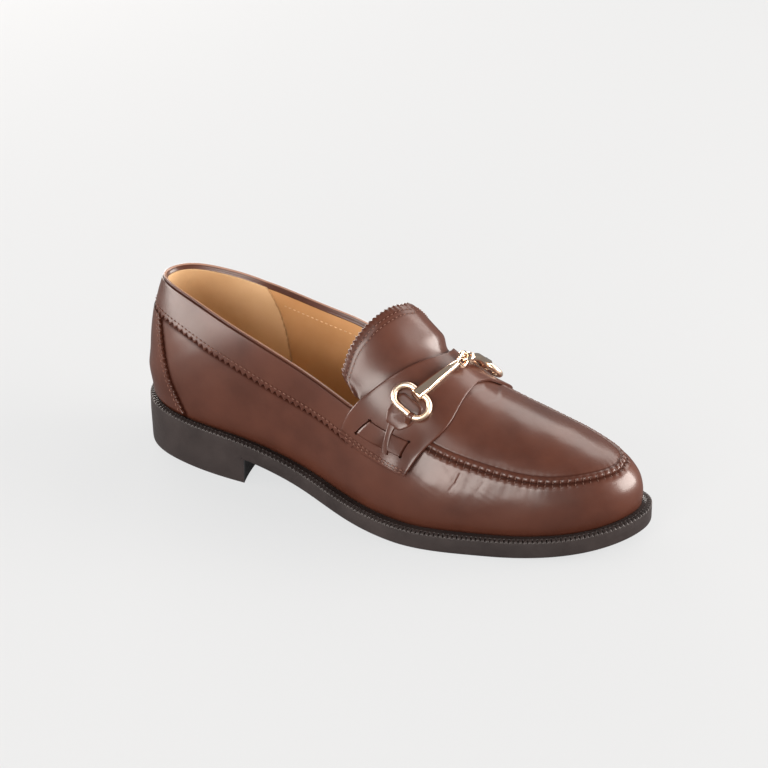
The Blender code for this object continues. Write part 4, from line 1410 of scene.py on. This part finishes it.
def ring_loop(name, arc=40):
    """The middle line of a ring's wire: two half circles joined by straight sides."""
    middle, along, up, _ = ring_frame(name)
    radius = (RING_WIDTH - RING_WIRE) / 2
    straight = (RING_LENGTH - RING_WIDTH) / 2
    points = []
    for end, start in ((1, -90), (-1, 90)):
        for angle in np.radians(np.linspace(start, start + 180, arc)):
            centre = middle + along * straight * end
            points.append(centre + radius * (along * math.cos(angle) + up * math.sin(angle)))
        for share in np.linspace(0, 1, 6)[1:-1]:
            points.append(middle + up * radius * end + along * straight * end * (1 - 2 * share))
    return np.array(points)


def make_ring(name, finish):
    sheets = Sheets()
    sheets.tube(ring_loop(name), RING_WIRE / 2, ring_frame(name)[3], sides=20, closed=True)
    sheets.build("ring_" + name, finish, ["bit_ring_" + name])


def link_frame():
    """The middle of the two linked eyes, and the way the bit runs through it to the medial side."""
    station = np.array(LINK_STATION)
    crown = np.array(1.0)
    middle = offset_wall(LATERAL, station, crown, np.array(LINK_LIFT))
    out = wall_normal(LATERAL, station, crown)
    ends = [ring_frame(name)[0] for name in SIDES]
    run = unit(ends[1] - ends[0])
    return middle, run, unit(out - run * (out @ run))


def bar_section(centre, wide, high, size, soft=0.16):
    """A rectangle with cut corners, whose cuts are slightly rounded."""
    half_wide, half_high = size[0] / 2, size[1] / 2
    cut = BAR_CHAMFER * min(size)
    corners = []
    for x, y, first in ((1, -1, True), (1, 1, False), (-1, 1, True), (-1, -1, False)):
        by_side = np.array((x * half_wide, y * (half_high - cut)))
        by_end = np.array((x * (half_wide - cut), y * half_high))
        corners += [by_end, by_side] if first else [by_side, by_end]
    ring = []
    for before, corner, after in zip(corners[-1:] + corners[:-1], corners, corners[1:] + corners[:1]):
        ring.append(corner + soft * unit(before - corner))
        ring.append(corner + soft * unit(after - corner))
    return [centre + wide * x + high * y for x, y in ring]


def make_bar(name, finish):
    """A tapered bar on the ring, ending in an eye that links with the other bar's."""
    side = SIDES[name]
    ring_middle, along, up, leather_out = ring_frame(name)
    base = ring_middle + up * (RING_WIDTH - RING_WIRE) / 2
    link, run, out = link_frame()
    eye = link + run * side * EYE_PITCH / 2
    way = unit(eye - base)
    wide = unit(along - way * (along @ way))
    high = unit(leather_out - way * (leather_out @ way) - wide * (leather_out @ wide))
    taper = np.linalg.norm(eye - base) - EYE_RADIUS - BAR_OVERHANG
    sections = []
    for back, shrink in BAR_END:
        size = np.array(BAR_BASE) - 2 * shrink
        sections.append(bar_section(base - way * (BAR_OVERHANG - back), wide, high, size))
    for share in np.linspace(0, 1, 25):
        centre = base + way * (BAR_OVERHANG + taper * share) + high * BAR_ARCH * math.sin(math.pi * share)
        size = np.array(BAR_BASE) * (1 - share) + np.array(BAR_NECK) * share
        sections.append(bar_section(centre, wide, high, size))
    bar = Sheets()
    bar.loft(sections)
    thing = bar.build("bar_" + name, finish, ["bit_bar_" + name], 25)
    side_way = np.cross(run, out)
    turn = unit(out * math.cos(EYE_TURN) + side * side_way * math.sin(EYE_TURN))
    angles = np.linspace(0, 2 * math.pi, 48, endpoint=False)[:, None]
    loop = eye + EYE_RADIUS * (run * np.cos(angles) + turn * np.sin(angles))
    rings = Sheets()
    rings.tube(loop, EYE_WIRE / 2, np.cross(run, turn), sides=16, closed=True)
    apply_boolean(thing, rings.thing("eye_" + name), "UNION")
    smooth(thing.data, 25)


def sole_ring(station, profile):
    """Closed sections from the lateral to the medial edge: profile gives insets and heights up the edge.

    The round of the lower edge begins in front of the heel.
    """
    sides = []
    for side in SIDES.values():
        x = EDGE.walk(side, station)[0][:, 0]
        free = ease((x - HEEL_LENGTH + 1) / 3)
        lines = []
        for inset, rise in profile:
            lift = rise if inset == 0 and rise > 1 else rise * free
            lines.append(edge_points(side, station, inset * free, lambda place: underside(place) + lift))
        sides.append(lines)
    lateral, medial = sides
    inner = (0.25, 0.5, 0.75)
    across_top = [lateral[-1] * (1 - share) + medial[-1] * share for share in inner]
    across_low = [medial[0] * (1 - share) + lateral[0] * share for share in inner]
    return np.stack(lateral + across_top + medial[::-1] + across_low, axis=1)


def make_outsole(finish):
    """The outsole with its rounded lower edge."""
    profile = OUTSOLE_EDGE + ((0.0, OUTSOLE_THICKNESS + SEAT_GAP),)
    sheets = Sheets()
    sheets.add(sole_ring(np.linspace(0, 1, 261), profile), wrap_columns=True)
    sheets.build("outsole_edge", finish, ["outsole"], 50)


def make_welt(finish):
    """The welt with its notched upper edge."""
    total = EDGE.length[-1]
    notches = int(total / WELT_NOTCH[0])
    way = np.linspace(0, total, notches * NOTCH_COLUMNS, endpoint=False)
    lateral = way <= EDGE.toe_length
    station = np.where(lateral, way / EDGE.toe_length, (total - way) / (total - EDGE.toe_length))
    side = np.where(lateral, LATERAL, MEDIAL)
    notch = WELT_NOTCH[1] * (0.5 + 0.5 * np.cos(2 * math.pi * way * notches / total)) ** 2
    section = []
    for inset, height, cut in WELT_EDGE:
        drop = notch * cut
        section.append(edge_points(side, station, inset + 0.25 * drop, lambda x: welt_top(x) + height - drop))
    lap = WALL_AT["welt"](station) + UPPER_WALL + WELT_LAP
    for height in (WELT_EDGE[-1][1], -WELT_THICKNESS):
        section.append(edge_points(side, station, lap, lambda x: welt_top(x) + height))
    sheets = Sheets()
    sheets.add(np.stack(section, axis=1), wrap_rows=True, wrap_columns=True)
    sheets.build("welt_edge", finish, ["welt"], 50)


def station_at(side, x):
    """The station where one half of the sole's edge passes an x."""
    stations = np.linspace(0, 1, 2001)
    return np.interp(x, EDGE.walk(side, stations)[0][:, 0], stations)


def make_heel(finish):
    """The heel block, flush with the sole above and drawn in towards the floor, with a hollow breast given
    painted shade.
    """
    across = np.linspace(0, 1, 24)[1:-1, None]
    hollow = BREAST_HOLLOW * (1 - (2 * across[:, 0] - 1) ** 2)
    loops = []
    for share, inset in HEEL_LEVELS:
        length = HEEL_LENGTH - BREAST_RAKE * (1 - share)
        edges = []
        for side in SIDES.values():
            station = np.linspace(0, 1, 60) * station_at(side, length)
            edges.append(edge_points(side, station, inset, lambda x: 0 * x))
        lateral, medial = edges
        breast = medial[-1] * (1 - across) + lateral[-1] * across
        breast[:, 0] -= hollow
        loop = np.concatenate([lateral[::-1], medial[1:], breast])
        loop[:, 2] = underside(loop[:, 0]) * share
        loops.append(loop)
    # The breast gets painted shade: darker and dull
    shaded_breast = np.arange(len(loop)) >= len(loop) - len(breast)
    sheets = Sheets()
    sheets.loft(loops, shaded_breast)
    sheets.build("heel_block", finish, ["heel"], 40)


def make_lining(finish):
    """The lining of the quarters, the skirt and the apron."""
    sheets = Sheets()
    station = np.union1d(ALL_STATIONS[::2], ALL_STATIONS[-1:])
    front = np.union1d(FRONT_STATIONS[::2], FRONT_STATIONS[-1:])[:, None]
    gap = np.clip(top_gap(station), 0, None)[:, None]
    for side in SIDES.values():
        top = rises_from(side, station, split_rise(side, station), -gap)
        sheets.add(offset_wall(side, station[:, None], top * np.linspace(0, 1, 36), LINING_LIFT))
        start = split_rise(side, front)
        rise = start + (1 - start) * np.linspace(0, 1, 30)
        sheets.add(offset_wall(side, front, rise, LINING_LIFT))
    sheets.build("lining", finish, ["upper"], 70, LINING_WALL)


def make_counter(finish):
    """The counter's lining, lapped over the other lining at the heel."""
    sheets = Sheets()
    share = np.concatenate([np.linspace(0, 0.97, 60), (0.985, 1.0)])[:, None]
    rise_share = np.linspace(0.02, 1, 50)
    for side in SIDES.values():
        rise = np.tile(0.4 * rise_share, (len(share), 1))
        for _ in range(5):
            station = COUNTER_FRONT(rise) * share
            top = topline_rise(side, station)
            rise = (top - LINING_TOP_GAP / wall_scale(side, station, top)[1]) * rise_share
        inner = offset_wall(side, station, rise, COUNTER_LIFT - COUNTER_WALL)
        outer = offset_wall(side, station, rise, COUNTER_LIFT)
        sheets.add(inner)
        sheets.add(outer)
        # Painted shade on the face of the lapped edge
        sheets.add([inner[-1], outer[-1]], 0.3)
        for end in (0, -1):
            sheets.add([inner[:, end], outer[:, end]])
    sheets.build("counter_lining", finish, ["upper"], 60)


def make_lining_stitches(finish):
    """The row of stitches along the lining, from the counter to the front."""
    sheets = Sheets()
    for side in SIDES.values():
        station = np.linspace(LINING_ROW_START, BAND_STOP[side], 160)
        below = np.full((len(station), 1), -LINING_ROW)
        rise = rises_from(side, station, topline_rise(side, station), below)[:, 0]
        route = offset_wall(side, station, rise, LINING_LIFT - LINING_WALL)
        sheets.stitch_row(route, -wall_normal(side, station, rise), *LINING_SEWING)
    sheets.build("lining_stitches", finish, ["upper"])


def make_insole(finish):
    """The sock, slightly cupped at its edges."""
    station = np.linspace(0, 1, 121)
    inset = WALL_AT["welt"](station) + UPPER_WALL + WELT_LAP + INSOLE_CLEAR
    share = np.linspace(0, 1, 31)[:, None]
    layers = []
    for height in (lambda x: welt_top(x) + INSOLE_STEP, lambda x: welt_top(x) - WELT_THICKNESS):
        lateral, medial = (edge_points(side, station, inset, height)[:, None] for side in SIDES.values())
        layers.append(lateral * (1 - share) + medial * share)
    top, bottom = layers
    top[..., 2] += 0.8 * np.abs(2 * share[:, 0] - 1) ** 4 - 0.3
    sheets = Sheets()
    sheets.slab(top, bottom)
    sheets.build("sock", finish, ["insole"], 50)


class Shader:
    """A material's node tree, with its Principled shader."""

    def __init__(self, name, colour, roughness, metallic=0.0):
        self.material = bpy.data.materials.new(name)
        self.material.use_nodes = True
        self.tree = self.material.node_tree
        self.surface = self.tree.nodes["Principled BSDF"]
        self.surface.inputs["Base Color"].default_value = (*colour, 1)
        self.surface.inputs["Roughness"].default_value = roughness
        self.surface.inputs["Metallic"].default_value = metallic
        self.material.diffuse_color = (*colour, 1)
        self.place = self.node("ShaderNodeTexCoord").outputs["Object"]

    def node(self, kind, **values):
        made = self.tree.nodes.new(kind)
        for name, value in values.items():
            socket = made.inputs.get(name.replace("_", " "))
            if socket is not None:
                socket.default_value = value
            else:
                setattr(made, name, value)
        return made

    def link(self, output, socket):
        self.tree.links.new(output, socket)

    def feed(self, output, socket):
        """Links an output to one of the Principled shader's sockets."""
        self.link(output, self.surface.inputs[socket])

    def noise(self, per_metre, detail=2.0, roughness=0.5):
        made = self.node("ShaderNodeTexNoise", Scale=per_metre, Detail=detail, Roughness=roughness)
        self.link(self.place, made.inputs["Vector"])
        return made.outputs["Fac"]

    def ramp(self, value, stops):
        made = self.node("ShaderNodeValToRGB")
        elements = made.color_ramp.elements
        for number, (at, colour) in enumerate(stops):
            stop = elements[number] if number < 2 else elements.new(at)
            stop.position = at
            stop.color = (*colour, 1)
        self.link(value, made.inputs["Fac"])
        return made.outputs["Color"]

    def mix(self, share, first, second):
        """A blend of two colours, each a socket or a colour."""
        made = self.node("ShaderNodeMix", data_type="RGBA")
        self.link(share, made.inputs["Factor"])
        for value, socket in ((first, made.inputs[6]), (second, made.inputs[7])):
            if isinstance(value, tuple):
                socket.default_value = (*value, 1)
            else:
                self.link(value, socket)
        return made.outputs[2]

    def spread(self, value, low, high, start=0.3, stop=0.7):
        made = self.node("ShaderNodeMapRange", From_Min=start, From_Max=stop, To_Min=low, To_Max=high)
        self.link(value, made.inputs["Value"])
        return made.outputs["Result"]

    def attribute(self, name):
        return self.node("ShaderNodeAttribute", attribute_name=name).outputs["Fac"]

    def bump(self, height, depth_mm, strength=1.0, under=None):
        made = self.node("ShaderNodeBump", Strength=strength, Distance=depth_mm * MM)
        self.link(height, made.inputs["Height"])
        if under:
            self.link(under, made.inputs["Normal"])
        self.feed(made.outputs["Normal"], "Normal")
        return made.outputs["Normal"]


def calf(name, colour, coat):
    """Smooth polished calf: patchy dye, painted shade in low spots and a painted highlight along edges, as
    the shade attribute marks them, fine pores and a waxed coat.
    """
    made = Shader(name, colour, 0.45)
    red, green, blue = colour
    dye = made.ramp(made.noise(38, 4.0, 0.55), (
        (0.30, (0.72 * red, 0.66 * green, 0.62 * blue)),
        (0.72, (1.18 * red, 1.20 * green, 1.18 * blue)),
        (0.52, colour),
    ))
    # Painted shade where the shade attribute is above 0, with the gloss taken away too; a painted highlight
    # in pale tan where it is below 0
    shade = made.attribute("shade")
    shaded = made.mix(shade, dye, (0.28 * red, 0.24 * green, 0.24 * blue))
    pale = made.spread(shade, 1.0, 0.0, -1.0, 0.0)
    made.feed(made.mix(pale, shaded, (0.50, 0.30, 0.22)), "Base Color")
    made.feed(made.spread(shade, 0.16, 0.02, 0.0, 0.8), "Specular IOR Level")
    made.feed(made.spread(shade, coat, 0.0, 0.0, 0.8), "Coat Weight")
    made.feed(made.spread(made.noise(420, 3.0), 0.40, 0.52), "Roughness")
    grain = made.bump(made.noise(1500, 4.0, 0.6), 0.04, 0.4)
    made.bump(made.noise(240, 2.0), 0.08, 0.3, grain)
    made.surface.inputs["Coat Roughness"].default_value = 0.24
    return made.material


def lining_leather(name, low, high):
    """Matt lining leather, with painted shade where the shade attribute marks it, as on the counter's lapped
    edge.
    """
    made = Shader(name, high, 0.62)
    dye = made.ramp(made.noise(26, 3.0), ((0.32, low), (0.70, high)))
    # Painted shade where the shade attribute marks it
    made.feed(made.mix(made.attribute("shade"), dye, (0.16, 0.075, 0.03)), "Base Color")
    made.feed(made.spread(made.noise(300, 2.0), 0.5, 0.7), "Roughness")
    grain = made.bump(made.noise(1700, 3.0), 0.06, 0.5)
    made.bump(made.noise(70, 3.0), 1.2, 0.5, grain)
    return made.material


def sole_black(name, roughness):
    """Satin black; faces that the shade attribute marks get painted shade, darker and dull."""
    made = Shader(name, (0.024, 0.019, 0.018), roughness)
    shade = made.attribute("shade")
    dye = made.ramp(made.noise(60, 3.0), ((0.3, (0.019, 0.0147, 0.0143)), (0.7, (0.030, 0.0235, 0.0226))))
    # Painted shade: darker and less glossy where the shade attribute marks faces
    made.feed(made.mix(shade, dye, (0.0105, 0.0085, 0.0082)), "Base Color")
    made.feed(made.spread(shade, 0.3, 0.03, 0.0, 1.0), "Specular IOR Level")
    made.feed(made.spread(made.noise(500, 2.0), roughness - 0.06, roughness + 0.08), "Roughness")
    made.bump(made.noise(900, 3.0), 0.05, 0.5)
    return made.material


def gold(name, roughness):
    """Pale gold plate."""
    made = Shader(name, (0.94, 0.75, 0.57), roughness, 1.0)
    tint = made.ramp(made.noise(90, 2.0), ((0.3, (0.97, 0.72, 0.52)), (0.7, (1.00, 0.80, 0.63))))
    made.feed(tint, "Base Color")
    made.feed(made.spread(made.noise(300, 2.0), roughness - 0.02, roughness + 0.02), "Roughness")
    return made.material


def thread(name, colour):
    """Twisted sewing thread."""
    made = Shader(name, colour, 0.7)
    low, high = (tuple(part * value for value in colour) for part in (0.75, 1.2))
    made.feed(made.ramp(made.noise(900, 2.0), ((0.3, low), (0.7, high))), "Base Color")
    made.bump(made.noise(2600, 2.0), 0.05, 0.6)
    return made.material


def make_shoe():
    """Every finish and every piece of the shoe."""
    brown = calf("brown_calf", (0.058, 0.0180, 0.0102), 0.62)
    tan = lining_leather("tan_lining", (0.40, 0.205, 0.079), (0.51, 0.284, 0.125))
    pale_tan = lining_leather("pale_tan_lining", (0.48, 0.300, 0.152), (0.60, 0.405, 0.225))
    edge = sole_black("black_sole_edge", 0.36)
    welt = sole_black("black_welt", 0.42)
    ring_metal = gold("pale_gold", 0.32)
    bar_metal = gold("pale_gold_bar", 0.13)
    brown_thread = thread("brown_thread", (0.13, 0.055, 0.036))
    seam_thread = thread("seam_thread", (0.085, 0.034, 0.022))
    tan_thread = thread("tan_thread", (0.62, 0.42, 0.24))
    make_quarters(brown)
    make_apron(brown)
    make_apron_stitches(seam_thread)
    make_collar_band(brown, brown_thread)
    make_backstay(brown, brown_thread)
    make_tongue(brown, tan, brown_thread)
    make_saddle(brown, brown_thread)
    make_weave(brown)
    for name in SIDES:
        make_keeper(name, brown)
        make_ring(name, ring_metal)
        make_bar(name, bar_metal)
    make_outsole(edge)
    make_welt(welt)
    make_heel(edge)
    make_lining(tan)
    make_counter(pale_tan)
    make_lining_stitches(tan_thread)
    make_insole(tan)


# Camera of the photograph, and the studio
CAMERA_AZIMUTH = math.radians(27)
CAMERA_ELEVATION = math.radians(28.8)
CAMERA_DISTANCE = 1.5
CAMERA_TARGET = (126.3, 0.0, 52.9)
CAMERA_LENS = 147.9
FLOOR_RADIUS = 12
WORLD_STRENGTH = 0.22
SOFTBOX_DISTANCE = 1.2
SOFTBOX_TARGET = (0, 0, 0.04)
SOFTBOX_COLOUR = (1.0, 0.93, 0.875)
SOFTBOXES = (
    ("front_box", 4, 17, (0.60, 0.74), 13.0),
    ("toe_box", 110, 15, (1.06, 0.58), 19.0),
    ("rear_box", 156, 41, (1.40, 0.45), 5.0),
    ("top_box", 12, 50, (0.36, 0.30), 5.0),
    ("heel_box", -68, 9, (0.88, 0.38), 13.0),
    ("back_box", -128, 9, (0.90, 0.38), 16.0),
)


def direction(azimuth, elevation):
    """The way from the shoe to something at an azimuth, from -Y towards +X, and an elevation."""
    flat = math.cos(elevation)
    return np.array((math.sin(azimuth) * flat, -math.cos(azimuth) * flat, math.sin(elevation)))


def aim(thing, place, target):
    """Puts a camera or light in place and turns it to a target."""
    thing.location = place
    way = target - place
    flat = math.hypot(way[0], way[1])
    thing.rotation_euler = (math.atan2(flat, -way[2]), 0, math.atan2(-way[0], way[1]))


def make_camera():
    data = bpy.data.cameras.new("camera")
    data.lens = CAMERA_LENS
    data.sensor_width = 36
    data.clip_end = 100
    thing = bpy.data.objects.new("camera", data)
    bpy.context.scene.collection.objects.link(thing)
    target = to_world(CAMERA_TARGET)
    aim(thing, target + CAMERA_DISTANCE * direction(CAMERA_AZIMUTH, CAMERA_ELEVATION), target)
    bpy.context.scene.camera = thing


def make_softbox(name, azimuth, elevation, size, radiance):
    """A soft box that shines on the shoe from a direction in degrees."""
    data = bpy.data.lights.new(name, "AREA")
    data.shape = "RECTANGLE"
    data.size, data.size_y = size
    data.color = SOFTBOX_COLOUR
    data.energy = math.pi * size[0] * size[1] * radiance
    thing = bpy.data.objects.new(name, data)
    thing.visible_camera = False
    bpy.context.scene.collection.objects.link(thing)
    target = np.array(SOFTBOX_TARGET)
    aim(thing, target + SOFTBOX_DISTANCE * direction(math.radians(azimuth), math.radians(elevation)), target)


def make_floor():
    """A plain pale floor that lights the shoe and takes its shadow, but isn't mirrored in it."""
    made = Shader("pale_floor", (0.08, 0.08, 0.08), 0.9)
    made.surface.inputs["Emission Color"].default_value = (0.985, 0.995, 1, 1)
    made.surface.inputs["Emission Strength"].default_value = 0.69
    made.surface.inputs["Specular IOR Level"].default_value = 0.1
    made.feed(made.ramp(made.noise(3, 2.0), ((0.3, (0.079,) * 3), (0.7, (0.081,) * 3))), "Base Color")
    bm = bmesh.new()
    bmesh.ops.create_circle(bm, cap_ends=True, segments=64, radius=FLOOR_RADIUS)
    mesh = bpy.data.meshes.new("floor")
    bm.to_mesh(mesh)
    bm.free()
    mesh.materials.append(made.material)
    floor = bpy.data.objects.new("floor", mesh)
    bpy.context.scene.collection.objects.link(floor)
    floor.visible_glossy = False


def make_studio():
    """Floor, even surrounding light and soft boxes."""
    make_floor()
    world = bpy.data.worlds.new("studio")
    world.use_nodes = True
    background = world.node_tree.nodes["Background"]
    background.inputs["Color"].default_value = (1, 1, 1, 1)
    background.inputs["Strength"].default_value = WORLD_STRENGTH
    bpy.context.scene.world = world
    for softbox in SOFTBOXES:
        make_softbox(*softbox)
    bpy.context.scene.view_settings.view_transform = "Standard"
    bpy.context.scene.cycles.use_denoising = True


make_shoe()
make_camera()
make_studio()
